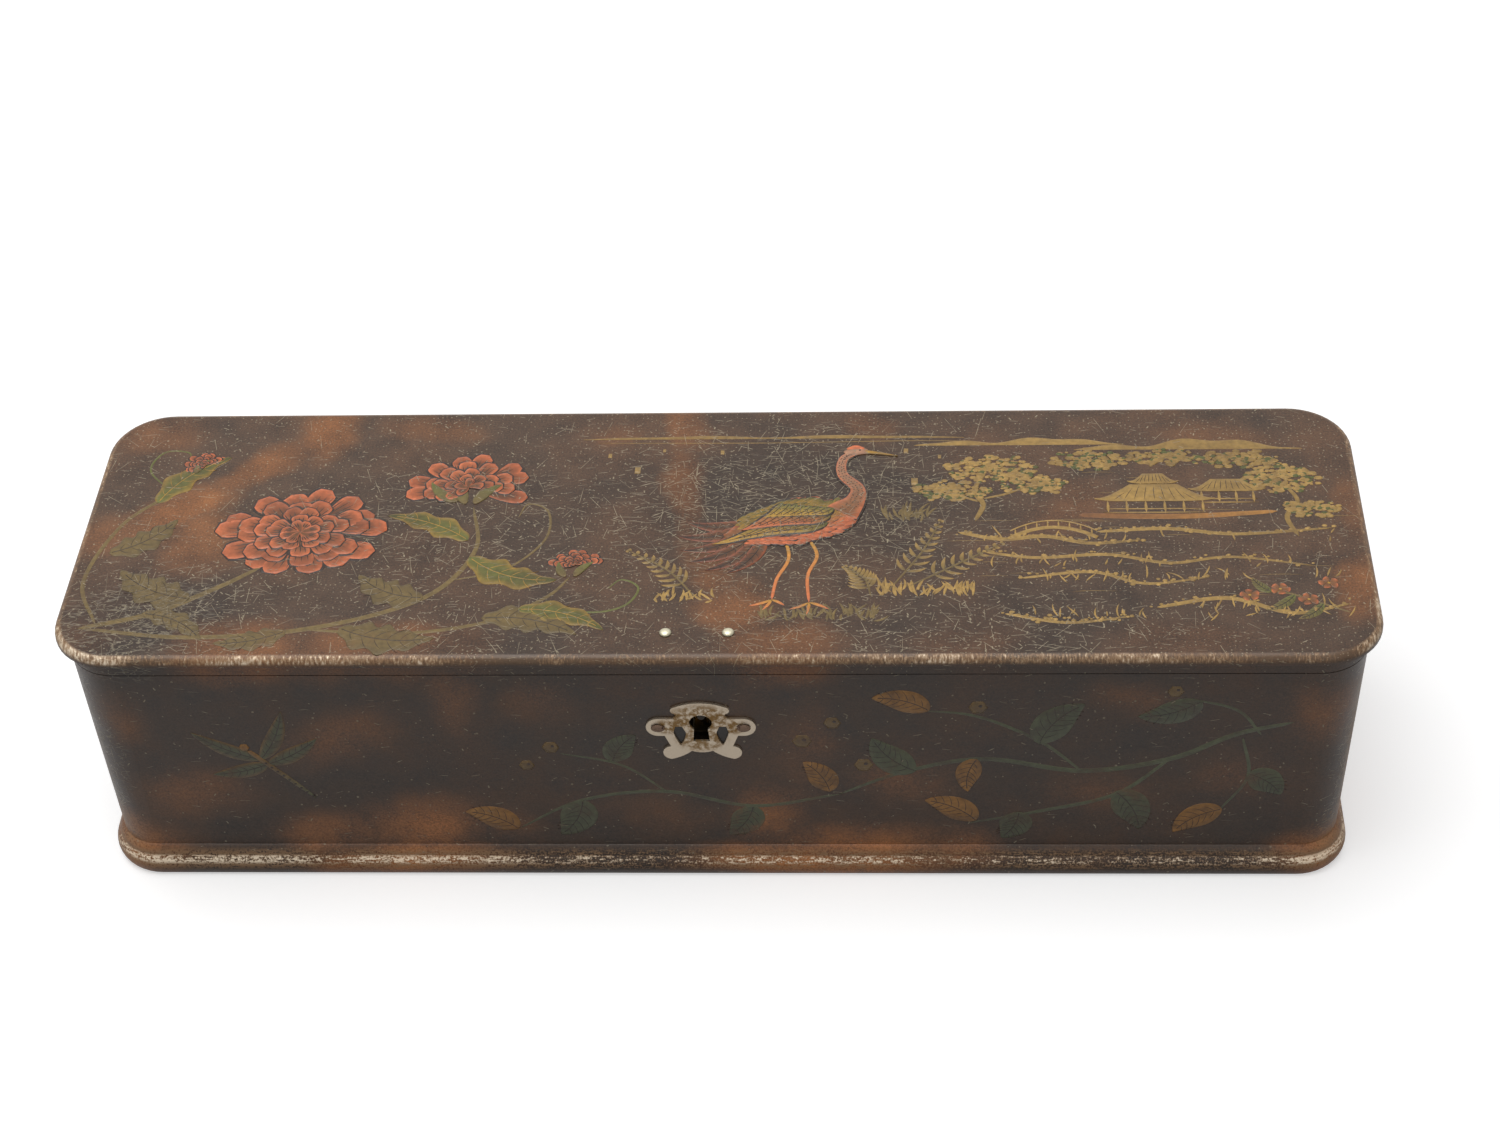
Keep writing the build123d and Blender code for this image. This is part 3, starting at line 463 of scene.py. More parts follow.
def coloured_lacquer(name, rubbing):
    """Thin oil colour and bronze powder on the lacquer, under the same varnish.

    The colour comes from the paint's own attribute, is streaked by the brush, and is broken where
    the lacquer below is cracked or rubbed.
    """
    material, put = fresh_material(name)
    ground = ground_in(put)
    paint = put("Attribute paint", out="Color")
    mm = object_mm(put)
    shade = put("MapRange", put("TexNoise", mm, 1 / 1.3, 3.0), 0.3, 0.7, 0.78, 1.2)
    paint = put("VectorMath MULTIPLY", paint, shade)
    thin = put("MapRange SMOOTHSTEP", put("TexNoise", mm, 1 / 7, 5.0, 0.7), 0.42, 0.68, 1.0, 1 - rubbing)
    cover = put("Math SUBTRACT", thin, ground["Cracks"], use_clamp=True)
    colour = put("Mix RGBA", cover, ground["Colour"], paint)
    inputs = {"Base Color": colour, "Roughness": ground["Roughness"], "IOR": VARNISH_IOR}
    finish_surface(put, inputs, ground["Height"])
    return material


def stacked(*values):
    """Points from their coordinates, of which any may be one number for all."""
    return np.stack(np.broadcast_arrays(*values), -1)


def ray(angle, squash=1.0):
    """Directions at angles in the plane, with their second coordinate squashed."""
    return stacked(np.cos(angle), np.sin(angle) * squash)


def unit(vectors):
    """Vectors brought to length one."""
    return vectors / np.linalg.norm(vectors, axis=-1, keepdims=True)


def leftward(vectors):
    """Vectors in the plane turned a quarter to the left."""
    return np.stack([-vectors[..., 1], vectors[..., 0]], -1)


def halved(*faces):
    """Triangles of four-sided faces, which come as four arrays of point numbers."""
    halves = [half for a, b, c, d in faces for half in ((a, b, c), (a, c, d))]
    return np.concatenate([np.stack(half, -1).reshape(-1, 3) for half in halves])


def joined(shapes):
    """Several shapes of points, triangles and colours as one."""
    points, triangles, colours = zip(*shapes)
    starts = np.cumsum([0] + [len(part) for part in points[:-1]])
    triangles = [part + start for part, start in zip(triangles, starts)]
    return np.concatenate(points), np.concatenate(triangles), np.concatenate(colours)


def outward(points, triangles):
    """The triangles turned so that the shape's volume is positive."""
    a, b, c = (points[triangles[:, i]] for i in range(3))
    volume = np.einsum("ij,ij->i", a, np.cross(b, c)).sum()
    return triangles if volume > 0 else triangles[:, ::-1]


def laid_mesh(name, points, triangles, body, material, colours=None):
    """A new piece from arrays in mm, with its colours, its body and its finish."""
    mesh = bpy.data.meshes.new(name)
    mesh.from_pydata((points / MM).tolist(), [], triangles.tolist())
    mesh.polygons.foreach_set("use_smooth", np.ones(len(mesh.polygons), bool))
    if colours is not None:
        layer = mesh.color_attributes.new("paint", "FLOAT_COLOR", "POINT")
        layer.data.foreach_set("color", np.hstack([colours, np.ones((len(colours), 1))]).ravel())
    mesh.materials.append(material)
    mesh.update()
    piece = bpy.data.objects.new(name, mesh)
    bpy.context.scene.collection.objects.link(piece)
    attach(piece, body)
    return piece


# Sections of the strokes, as (across, up) from the right edge to the left: a low ridge, and a leaf
# with a groove down its middle
STROKE = np.array([(1, 0), (0.7, 0.7), (0, 1), (-0.7, 0.7), (-1, 0)], float)
LEAF = np.array(
    [(1, 0), (0.93, 0.55), (0.5, 0.95), (0.04, 0.6), (-0.04, 0.6), (-0.5, 0.95), (-0.93, 0.55), (-1, 0)]
)
SUNK = 0.04  # mm that the foot of each colour lies under the lacquer
LID_RELIEF = 0.55  # share of their drawn heights that the lid's colours stand


def carried(path, left, right, section, lift, rise, root, tip, edge=None, late=1.0):
    """Closed strokes of colour: a section carried along each of many paths.

    path is strokes x points x 2 in mm. At a point of the path, the section's corner (across, up)
    stands across times the left or right width to that side of the path, at the height
    lift + rise * up, or under the surface where up is 0. The colour goes from root to tip along
    the path, as the power late of the distance, and turns to edge at the sides.
    """
    path = np.asarray(path, float)
    strokes, count = path.shape[:2]
    corners = len(section)
    along = np.gradient(path, axis=1)
    along /= np.linalg.norm(along, axis=2, keepdims=True) + 1e-9
    left, right = (np.broadcast_to(width, (strokes, count))[..., None] for width in (left, right))
    across, up = section.T
    reach = np.where(across >= 0, left, right) * across
    plan = path[:, :, None] + leftward(along)[:, :, None] * reach[..., None]
    lift = np.broadcast_to(np.reshape(lift, (-1, 1, 1)), (strokes, count, corners))
    height = np.where(up > 0, lift + rise * up, -SUNK)
    points = np.concatenate([plan, height[..., None]], axis=-1).reshape(-1, 3)
    index = np.arange(strokes * count * corners).reshape(strokes, count, corners)
    onward = np.roll(index, -1, axis=2)
    triangles = [halved((index[:, :-1], index[:, 1:], onward[:, 1:], onward[:, :-1]))]
    triangles += [index[:, 0][:, [0, i, i + 1]] for i in range(1, corners - 1)]
    triangles += [index[:, -1][:, [0, i + 1, i]] for i in range(1, corners - 1)]
    ratio = np.linspace(0, 1, count)[:, None, None] ** late
    root, tip = (np.reshape(colour, (-1, 1, 1, 3)) for colour in (root, tip))
    colours = np.broadcast_to(root * (1 - ratio) + tip * ratio, (strokes, count, corners, 3))
    if edge is not None:
        sideways = (np.abs(across) ** 3)[:, None] * 0.8
        colours = colours * (1 - sideways) + np.reshape(edge, (-1, 1, 1, 3)) * sideways
    return points, outward(points, np.concatenate(triangles)), colours.reshape(-1, 3)


def smooth_path(knots, count):
    """A curve through knots, a Catmull-Rom spline: each span is a cubic of its four nearest knots."""
    knots = np.asarray(knots, float)
    padded = np.vstack([2 * knots[0] - knots[1], knots, 2 * knots[-1] - knots[-2]])
    t = np.linspace(0, len(knots) - 1, count)
    span = np.minimum(t.astype(int), len(knots) - 2)
    t = (t - span)[:, None]
    p0, p1, p2, p3 = (padded[span + i] for i in range(4))
    square, cube = (2 * p0 - 5 * p1 + 4 * p2 - p3) * t**2, (3 * p1 - p0 - 3 * p2 + p3) * t**3
    return 0.5 * (2 * p1 + (p2 - p0) * t + square + cube)


def bowed_paths(base, tip, bow, count):
    """Paths from bases to tips, bent sideways by a share of their length, as parabolas."""
    base, tip = np.atleast_2d(base).astype(float), np.atleast_2d(tip).astype(float)
    s = np.linspace(0, 1, count)[:, None]
    chord = tip - base
    side = leftward(chord) * np.reshape(bow, (-1, 1))
    return base[:, None] + chord[:, None] * s + side[:, None] * 4 * s * (1 - s)


def brush_line(knots, width, lift, rise, root, tip=None, count=36, swell=0.35):
    """One brush stroke through knots, thin at both ends and thickest at a third of its length."""
    s = np.linspace(0, 1, count)
    half = width / 2 * (np.sin(np.pi * s**0.7) ** swell * 0.94 + 0.06)
    path = smooth_path(knots, count)[None]
    return carried(path, half, half, STROKE, lift, rise, root, root if tip is None else tip)


def brush_marks(base, tip, bow, width, lift, rise, root, end=None, count=9):
    """Many small strokes at once, pointed at both ends."""
    s = np.linspace(0, 1, count)
    half = np.reshape(width, (-1, 1)) / 2 * (np.sin(np.pi * s**0.8) ** 0.7 * 0.95 + 0.05)
    path = bowed_paths(base, tip, bow, count)
    return carried(path, half, half, STROKE, lift, rise, root, root if end is None else end)


def leaves(base, tip, bow, width, lobes, lift, rise, root, end, edge=None, vein=None, count=31):
    """Leaves with a midrib and side veins.

    The half width along the leaf is width * sin(pi * s ^ 0.75) ^ 0.8, and dips between its lobes.
    """
    path = bowed_paths(base, tip, bow, count)
    s = np.linspace(0, 1, count)
    notched = 1 - 0.34 * (0.5 - 0.5 * np.cos(2 * np.pi * lobes * s)) if lobes else 1
    half = np.reshape(width, (-1, 1)) / 2 * np.sin(np.pi * s**0.75) ** 0.8 * notched + 0.03
    shapes = [carried(path, half, half, LEAF, lift, rise, root, end, edge)]
    if vein is not None:
        midrib = path[:, 1:-3]
        shapes.append(carried(midrib, 0.14, 0.14, STROKE, np.asarray(lift) + rise, rise * 0.6, vein, vein))
        places = np.arange(4, count - 6, 4)
        along = unit(np.gradient(path, axis=1))[:, places]
        start = path[:, places]
        above = np.repeat(np.broadcast_to(lift, (len(path),)), len(places)) + rise
        for turn in (-1, 1):
            stop = start + (leftward(along) * turn + along * 0.9) * (half[:, places][..., None] * 0.8)
            ends = start.reshape(-1, 2), stop.reshape(-1, 2)
            shapes.append(brush_marks(*ends, turn * 0.08, 0.22, above, rise * 0.6, vein, count=5))
    return joined(shapes)


def petals(centre, inner, outer, angles, squash, width, lift, rise, root, tip, edge):
    """Petals round a centre: each is a blade whose half width grows as s ^ 0.6 to a blunt tip."""
    s = np.linspace(0, 1, 13)
    rays = ray(angles, squash)
    base, end = (np.asarray(centre) + rays * np.reshape(far, (-1, 1)) for far in (inner, outer))
    path = bowed_paths(base, end, 0.12 * np.sin(angles * 5 + 1), len(s))
    half = np.reshape(width, (-1, 1)) / 2 * (s**0.6 * (1 - s**7) ** 0.5 + 0.04)
    return carried(path, half, half, LEAF, lift, rise, root, tip, edge, late=4.0)


def dabs(centres, radius, lift, rise, colour, squash=0.8):
    """Small touches of the brush: low six-sided cones, one at each centre, each at its own height."""
    centres = np.asarray(centres, float)[:, None]
    amount = len(centres)
    i = np.arange(6)
    j = (i + 1) % 6
    ring = ray(i * np.pi / 3, squash) * np.broadcast_to(radius, (amount,))[:, None, None]
    tall = lift + rise + 0.06 * (np.arange(amount) * 0.618 % 1)
    tall = np.broadcast_to(tall[:, None, None], (amount, 6, 1))
    foot = np.concatenate([centres + ring, np.full((amount, 6, 1), -SUNK)], -1)
    top = np.concatenate([centres + ring * 0.6, tall], -1)
    points = np.concatenate([foot, top], axis=1).reshape(-1, 3)
    fan = np.array([(0, k + 1, k) for k in range(1, 5)])
    faces = np.concatenate([halved((i, j, j + 6, i + 6)), fan, fan[:, [0, 2, 1]] + 6])
    triangles = ((np.arange(amount) * 12)[:, None, None] + faces).reshape(-1, 3)
    return points, outward(points, triangles), np.repeat(np.broadcast_to(colour, (amount, 3)), 12, axis=0)


def varied(colour, amount, spread, random):
    """Many slightly lighter and darker copies of a colour."""
    return np.asarray(colour)[None] * (1 + random.uniform(-spread, spread, (amount, 1)))


def on_lid(points):
    """Drawing coordinates laid on the lid's top: x and y as they are, heights lowered."""
    return points * (1, 1, LID_RELIEF) + (0, 0, LID_HIGH[2])


def front_face(height):
    """Where the leaning front wall's face is at a height, drawn in by its slope below the top edge."""
    return WALL_LOW[1] + WALL_SLOPE * (WALL_HIGH[2] - height)


def on_front(points):
    """Drawing coordinates laid on the front wall: x along it, y as height above the table.

    A point's own height stands off along the wall's normal.
    """
    x, z, out = points.T
    return stacked(x, front_face(z) - out * math.cos(WALL_LEAN), z - out * math.sin(WALL_LEAN))


def painted_piece(name, shapes, material, place=on_lid, body="lid"):
    """One painted piece from its shapes."""
    points, triangles, colours = joined(shapes)
    points = place(points)
    if place is on_front:
        triangles = outward(points, triangles)
    return laid_mesh(name, points, triangles, body, material, colours)


def paints():
    """The painting's settings, and its colours as arrays."""
    settings = bpy.context.scene.glove_box_painting
    names = "gold coral petal olive green yellow outline faint_green faint_orange".split()
    return settings, SimpleNamespace(**{name: np.array(getattr(settings, name)) for name in names})


def need(condition, message):
    """Stops the making with a plain message."""
    if not condition:
        raise RuntimeError(message)


def dress(names, material):
    """Puts a finish in every slot of CAD nodes."""
    for name in names:
        need(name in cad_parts, f"the frame has no {name}")
        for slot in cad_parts[name].material_slots:
            slot.material = material


class GLOVEBOX_OT_stage(bpy.types.Operator):
    """Lays the floor, the lights and the camera"""

    bl_idname = "glove_box.stage"
    bl_label = "Stage"

    def execute(self, context):
        stage = context.scene.glove_box_stage
        reach, level = 4.0, -0.0001  # m, the floor's half size and its place just under the box
        mesh = bpy.data.meshes.new("floor")
        corners = [(x * reach, y * reach, level) for x, y in ((-1, -1), (1, -1), (1, 1), (-1, 1))]
        mesh.from_pydata(corners, [], [(0, 1, 2, 3)])
        floor = bpy.data.objects.new("floor", mesh)
        context.scene.collection.objects.link(floor)
        # White paper, which the eye and reflections see lit evenly, and which lights the box less
        material, put = fresh_material("white paper floor")
        rays = put("LightPath", out="Is Camera Ray")
        direct = put("Math MAXIMUM", rays, rays.node.outputs["Is Glossy Ray"])
        paper = put("Mix RGBA", direct, (0.3, 0.3, 0.3, 1), (0.75, 0.75, 0.75, 1))
        lit = put("Math MULTIPLY", direct, put("MapRange", rays, 0, 1, 0.2, 0.52))
        glow = put("Emission", (1, 1, 1, 1), lit)
        put("OutputMaterial", put("AddShader", put("BsdfDiffuse", paper), glow))
        mesh.materials.append(material)
        # A plain surround, white to the eye and in reflections, and faint as a light
        world = bpy.data.worlds.new("plain surround")
        context.scene.world = world
        world.use_nodes = True
        world.node_tree.nodes.clear()
        put = partial(add, world.node_tree)
        seen = put("LightPath", out="Is Camera Ray")
        for kind in ("Is Glossy Ray", "Is Transmission Ray"):
            seen = put("Math MAXIMUM", seen, put("LightPath", out=kind))
        strength = put("MapRange", seen, 0, 1, stage.sky, 1.0)
        put("OutputWorld", put("Background", (1, 1, 1, 1), strength))
        self.lamp(context, "key softbox", (-0.2, 0.02, 1.3), 1.1, stage.key_power)
        self.lamp(context, "fill softbox", (0.5, -1.3, 0.9), 0.9, stage.fill_power)
        self.camera(context, stage)
        context.scene.view_settings.view_transform = "Standard"
        return {"FINISHED"}

    def lamp(self, context, name, place, size, power):
        """A square softbox turned to the box's middle."""
        light = bpy.data.lights.new(name, "AREA")
        light.shape = "SQUARE"
        light.size = size
        light.energy = power
        lamp = bpy.data.objects.new(name, light)
        context.scene.collection.objects.link(lamp)
        lamp.location = place
        lamp.rotation_euler = (Vector((0, 0, 0.05)) - Vector(place)).to_track_quat("-Z", "Y").to_euler()

    def camera(self, context, stage):
        """The camera looks down 41 degrees at a point near the lid, turned 4 degrees, tilted 3 degrees."""
        yaw, pitch, roll, distance = 0.0734, 0.7224, -0.0528, 0.67918
        aim = Vector((0.007175, 0, 0.06048))
        level = math.cos(pitch)
        ahead = Vector((-math.sin(yaw) * level, math.cos(yaw) * level, -math.sin(pitch)))
        right = Vector((math.cos(yaw), math.sin(yaw), 0))
        up = right.cross(ahead)
        turned_right = right * math.cos(roll) + up * math.sin(roll)
        turned_up = up * math.cos(roll) - right * math.sin(roll)
        data = bpy.data.cameras.new("camera")
        data.lens = stage.lens
        data.sensor_width = 36.0
        data.sensor_fit = "HORIZONTAL"
        data.clip_start = 0.01
        camera = bpy.data.objects.new("camera", data)
        context.scene.collection.objects.link(camera)
        axes = Matrix((turned_right, turned_up, -ahead)).transposed().to_4x4()
        camera.matrix_world = Matrix.Translation(aim - ahead * distance) @ axes
        context.scene.camera = camera


class GLOVEBOX_OT_lacquer(bpy.types.Operator):
    """Lacquers the walls, base and lid"""

    bl_idname = "glove_box.lacquer"
    bl_label = "Lacquer"

    def execute(self, context):
        lacquer_ground(context.scene.glove_box_lacquer)
        material, put = fresh_material("tortoiseshell lacquer")
        ground = ground_in(put)
        colour, rough, gilt = ground["Colour"], ground["Roughness"], ground["Gilt"]
        inputs = {"Base Color": colour, "Roughness": rough, "Metallic": gilt, "IOR": VARNISH_IOR}
        finish_surface(put, inputs, ground["Height"])
        dress(["body_walls", "base_moulding", "lid_panel", "lid_frame"], material)
        # Black varnish brushed on board, matt and a little dusty
        board, put = fresh_material("black varnished board")
        marks = put("TexNoise", object_mm(put, (0.06, 0.9, 0.9)), 1.0, 3.0)
        colour = put("Mix RGBA", marks, rgba(srgb("1c1916")), rgba(srgb("3b332c")))
        finish_surface(put, {"Base Color": colour, "Roughness": 0.6}, marks)
        dress(["bottom_board"], board)
        return {"FINISHED"}


def stained_metal(name, metal, stain, roughness, scale, cover, stretch=(1, 1, 1), shine=1.0, grime_and_shade=None):
    """Old metal with a stain in soft patches of one size, a fine scratched surface, and grime with painted
    shade in places.
    """
    material, put = fresh_material(name)
    mm = object_mm(put, stretch)
    stained = put("TexNoise", mm, 1 / scale, 5.0, 0.65)
    stained = put("MapRange SMOOTHSTEP", stained, 0.62 - cover / 2, 0.74 - cover / 2)
    colour = put("Mix RGBA", stained, rgba(metal), rgba(stain))
    if grime_and_shade is not None:
        # Grime and painted shade darken the given places
        dirt_and_shade = patch_mask(put, grime_and_shade, mm, 0.7, 1.1)
        stained = put("Math MAXIMUM", stained, dirt_and_shade)
        colour = put("VectorMath MULTIPLY", colour, put("MapRange", dirt_and_shade, 0, 1, 1.0, 0.12))
    fine = put("TexNoise", mm, 4.0, 2.0)
    rough = put("MapRange", stained, 0, 1, roughness, min(roughness + 0.25, 1))
    bright = put("MapRange", stained, 0, 1, shine, shine * 0.45)
    finish_surface(put, {"Base Color": colour, "Metallic": bright, "Roughness": rough}, fine, 0.00001)
    return material


class GLOVEBOX_OT_metalwork(bpy.types.Operator):
    """Finishes the escutcheon, lock, strike and hinges"""

    bl_idname = "glove_box.metalwork"
    bl_label = "Metalwork"

    def execute(self, context):
        metal = context.scene.glove_box_metalwork
        # Nickel silver, stamped and rubbed: pale smooth rim and lobes, yellow brown stain about the
        # piercings
        nickel, put = fresh_material("nickel silver, tarnished")
        mm = object_mm(put)
        patches = put("TexNoise", mm, 1 / 1.6, 5.0, 0.7)
        pierced = [
            (PLATE_X, -41.5, PLATE_Z + 4.2, 9.0, 9, 5.0, 0, 1.0),
            (PLATE_X - 6.8, -41.5, PLATE_Z + 1.6, 4.2, 9, 3.0, 0, 1.0),
            (PLATE_X + 6.8, -41.5, PLATE_Z + 1.6, 4.2, 9, 3.0, 0, 1.0),
            (PLATE_X, -41.5, PLATE_Z - 2.5, 6.8, 9, 4.8, 0, 0.9),
        ]
        near = patch_mask(put, pierced, mm, 0.55, 1.05)
        stained = put("Math MULTIPLY", put("MapRange SMOOTHSTEP", patches, 0.38, 0.58), near)
        colour = put("Mix RGBA", stained, rgba(metal.nickel), rgba(metal.tarnish))
        shine = put("MapRange", stained, 0, 1, 0.85, 0.3)
        rough = put("MapRange", stained, 0, 1, 0.42, 0.7)
        finish_surface(put, {"Base Color": colour, "Metallic": shine, "Roughness": rough}, patches, 0.0001)
        # Cast and rolled brass, gone brown in the corners, and darkened about the keyhole by grime and
        # painted shade
        keyhole = [(PLATE_X, -39, PLATE_Z + 1.5, 5, 8, 7, 0, 1.0)]
        brass = stained_metal("aged brass", metal.brass, srgb("4d3c22"), 0.42, 3.0, 0.2, grime_and_shade=keyhole)
        # Filed steel, grey with rust freckles, scratched along the front
        steel = stained_metal("filed steel", metal.steel, srgb("5a3d2c"), 0.36, 1.2, 0.0, (0.3, 1, 1))
        # Dark iron, matt, at the bottom of the keyhole, darkened further as painted shade inside the keyhole
        keyhole_shade_iron = stained_metal("dark iron in keyhole shade", srgb("3a342f"), srgb("1d1714"), 0.7, 1.5, 0.3, shine=0.2)
        for side in ("left", "right"):
            dress([f"hinge_{side}_wall_leaf", f"hinge_{side}_lid_leaf"], brass)
            dress([f"hinge_{side}_pin"], steel)
        dress(["lock_backplate", "lock_case", "lock_pins", "strike_plate"], brass)
        dress(["hinge_wall_pins", "hinge_lid_pins"], brass)
        dress(["bolt_studs", "lock_bolt", "bolt_spring", "strike_staple"], steel)
        dress(["key_post"], keyhole_shade_iron)
        dress(["escutcheon"], nickel)
        return {"FINISHED"}


def turned_piece(radii, heights, count=32, oval=1.0):
    """A turned form about the Z axis: each ring is a circle, or an oval, of its radius at its height.

    The first and last rings are closed with a point.
    """
    radii, heights = np.asarray(radii, float), np.asarray(heights, float)
    plan = ray(np.arange(count) * 2 * np.pi / count, oval) * radii[:, None, None]
    tall = np.broadcast_to(heights[:, None, None], (len(radii), count, 1))
    points = np.concatenate([plan, tall], -1).reshape(-1, 3)
    first, last = len(points), len(points) + 1
    points = np.vstack([points, (0, 0, heights[0]), (0, 0, heights[-1])])
    index = np.arange(len(radii) * count).reshape(len(radii), count)
    onward = np.roll(index, -1, axis=1)
    triangles = [halved((index[:-1], onward[:-1], onward[1:], index[1:]))]
    triangles += [stacked(first, onward[0], index[0]), stacked(last, index[-1], onward[-1])]
    return points, outward(points, np.concatenate(triangles))


def set_out(points, triangles, centres):
    """Copies of a turned form, one at each centre."""
    copies = np.concatenate([points + centre for centre in centres])
    return copies, np.concatenate([triangles + len(points) * i for i in range(len(centres))])


class GLOVEBOX_OT_rivets(bpy.types.Operator):
    """Turns the two lid rivets and the two escutcheon pins"""

    bl_idname = "glove_box.rivets"
    bl_label = "Rivets and pins"

    def execute(self, context):
        metal = context.scene.glove_box_metalwork
        # Nickel silver rivets: a painted highlight on top and painted shade round the foot
        bright, put = fresh_material("nickel silver, painted highlight and shade")
        place = put("TexCoord", out="Object")
        low, high = (LID_HIGH[2] + 0.1) / MM, (RIVET_HIGH[2] - 0.12) / MM
        # Painted shade at the foot, painted highlight at the top
        top = put("MapRange", put("SeparateXYZ", place, out="Z"), low, high)
        colour = put("Mix RGBA", top, rgba(srgb("5d5340")), rgba(srgb("d2cbb0")))
        scratched = put("TexNoise", place, 3000.0, 2.0)
        finish_surface(put, {"Base Color": colour, "Metallic": 0.6, "Roughness": 0.4}, scratched, 0.00001)
        # Iron pins, rusted brown and matt
        rusty = stained_metal("rusty iron", metal.iron, srgb("3a261d"), 0.6, 0.7, 0.15)
        # Rivets: a shank, and a head whose section is a quarter oval, drawn to a small flat
        head, shank, flat = 1.45, 0.7, 0.15  # mm, radii
        turn = np.linspace(0, np.pi / 2, 8)[1:-1]
        foot, crown = LID_HIGH[2], RIVET_HIGH[2]
        radii = [shank, shank, head, *(head * np.cos(turn)), flat]
        heights = [RIVET_LOW[2], foot, foot, *(foot + (crown - foot) * np.sin(turn)), crown]
        x, y, _ = (RIVET_LOW + RIVET_HIGH) / 2
        apart = (RIVET_HIGH[0] - RIVET_LOW[0]) / 2 - head
        points, triangles = set_out(*turned_piece(radii, heights), [(x - apart, y, 0), (x + apart, y, 0)])
        rivets = laid_mesh("lid_rivets", points, triangles, "lid", bright)
        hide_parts("strike_rivets")
        # Oval pins of the escutcheon: domes 3.2 by 2.3 mm, along the wall's normal
        head, shank, tall, plate = 1.6, 0.55, 0.5, 0.8  # mm, plate is the escutcheon's thickness
        radii = [shank, shank, head, *(head * np.cos(turn)), flat]
        heights = [-2.0, 0, 0, *(tall * np.sin(turn)), tall]
        points, triangles = turned_piece(radii, heights, oval=0.72)
        axis = np.array(Matrix.Rotation(math.pi / 2 + WALL_LEAN, 3, "X"))
        x, _, z = (PIN_LOW + PIN_HIGH) / 2
        y = front_face(z) - plate
        apart = (PIN_HIGH[0] - PIN_LOW[0]) / 2 - 1.45
        centres = [(x - apart, y, z), (x + apart, y, z)]
        points, triangles = set_out(points @ axis.T, triangles, centres)
        pins = laid_mesh("escutcheon_pin_heads", points, triangles, "body", rusty)
        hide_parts("escutcheon_pins")
        return {"FINISHED"}


def satin(name, lining):
    """Woven satin, silk on cotton: soft gloss that follows the folds, fine ribs of thread, faded patches."""
    material, put = fresh_material(name)
    cloth = put("Attribute cloth", out="Vector")
    turned = put("Mapping", cloth, (0, 0, 0), (0, 0, 0.3))
    ribs = put("TexWave", turned, 1 / lining.thread * 0.314, 0.6, 1.0, out="Fac")
    fade = put("TexNoise", cloth, 1 / 22, 3.0)
    shade = put("Math ADD", put("Math MULTIPLY", ribs, 0.16), fade)
    shade = put("MapRange", shade, 0.35, 0.85, 0.75, 1.25)
    colour = put("VectorMath MULTIPLY", tuple(lining.satin), shade)
    inputs = {"Base Color": colour, "Roughness": 0.42, "Sheen Weight": 0.25, "Sheen Roughness": 0.35}
    finish_surface(put, inputs, ribs, 0.00004)
    return material


def cloth_coordinates(mesh, coordinates):
    """Stores the cloth's own coordinates in mm on the points."""
    layer = mesh.attributes.new("cloth", "FLOAT_VECTOR", "POINT")
    layer.data.foreach_set("vector", stacked(*coordinates.T, 0).ravel())


def rounded_path(half_length, half_depth, radius, straight):
    """Points round a rounded rectangle, anticlockwise from the right end's front: arcs and straights."""
    middles = np.array([(1, -1), (1, 1), (-1, 1), (-1, -1)]) * (half_length - radius, half_depth - radius)
    spans = (int(straight * half_depth / half_length) + 3, straight * 3)
    points = []
    for i, middle in enumerate(middles):
        arc = middle + radius * ray(np.linspace(-0.5 + i * 0.5, i * 0.5, 11) * np.pi)
        target = middles[(i + 1) % 4] + radius * ray(i * 0.5 * np.pi)
        s = np.linspace(0, 1, spans[i % 2] + 1)[1:-1, None]
        points += [arc, arc[-1] * (1 - s) + target * s]
    return np.concatenate(points)


def ring_surface(path, profile_out, profile_height):
    """A closed band: at each point of a closed path a closed profile of (outward, height) corners."""
    along = unit(np.roll(path, -1, axis=0) - np.roll(path, 1, axis=0))
    plan = path[:, None] - leftward(along)[:, None] * profile_out[..., None]
    points = np.concatenate([plan, profile_height[..., None]], -1)
    index = np.arange(profile_height.size).reshape(profile_height.shape)
    ahead = np.roll(index, -1, axis=0)
    triangles = halved((index, ahead, np.roll(ahead, -1, axis=1), np.roll(index, -1, axis=1)))
    points = points.reshape(-1, 3)
    return points, outward(points, triangles)


def between(x, left, right, width):
    """One between two places and none outside them, eased over a width round each."""
    gate = np.minimum((x - left) / width + 0.5, (right - x) / width + 0.5).clip(0, 1)
    return gate * gate * (3 - 2 * gate)


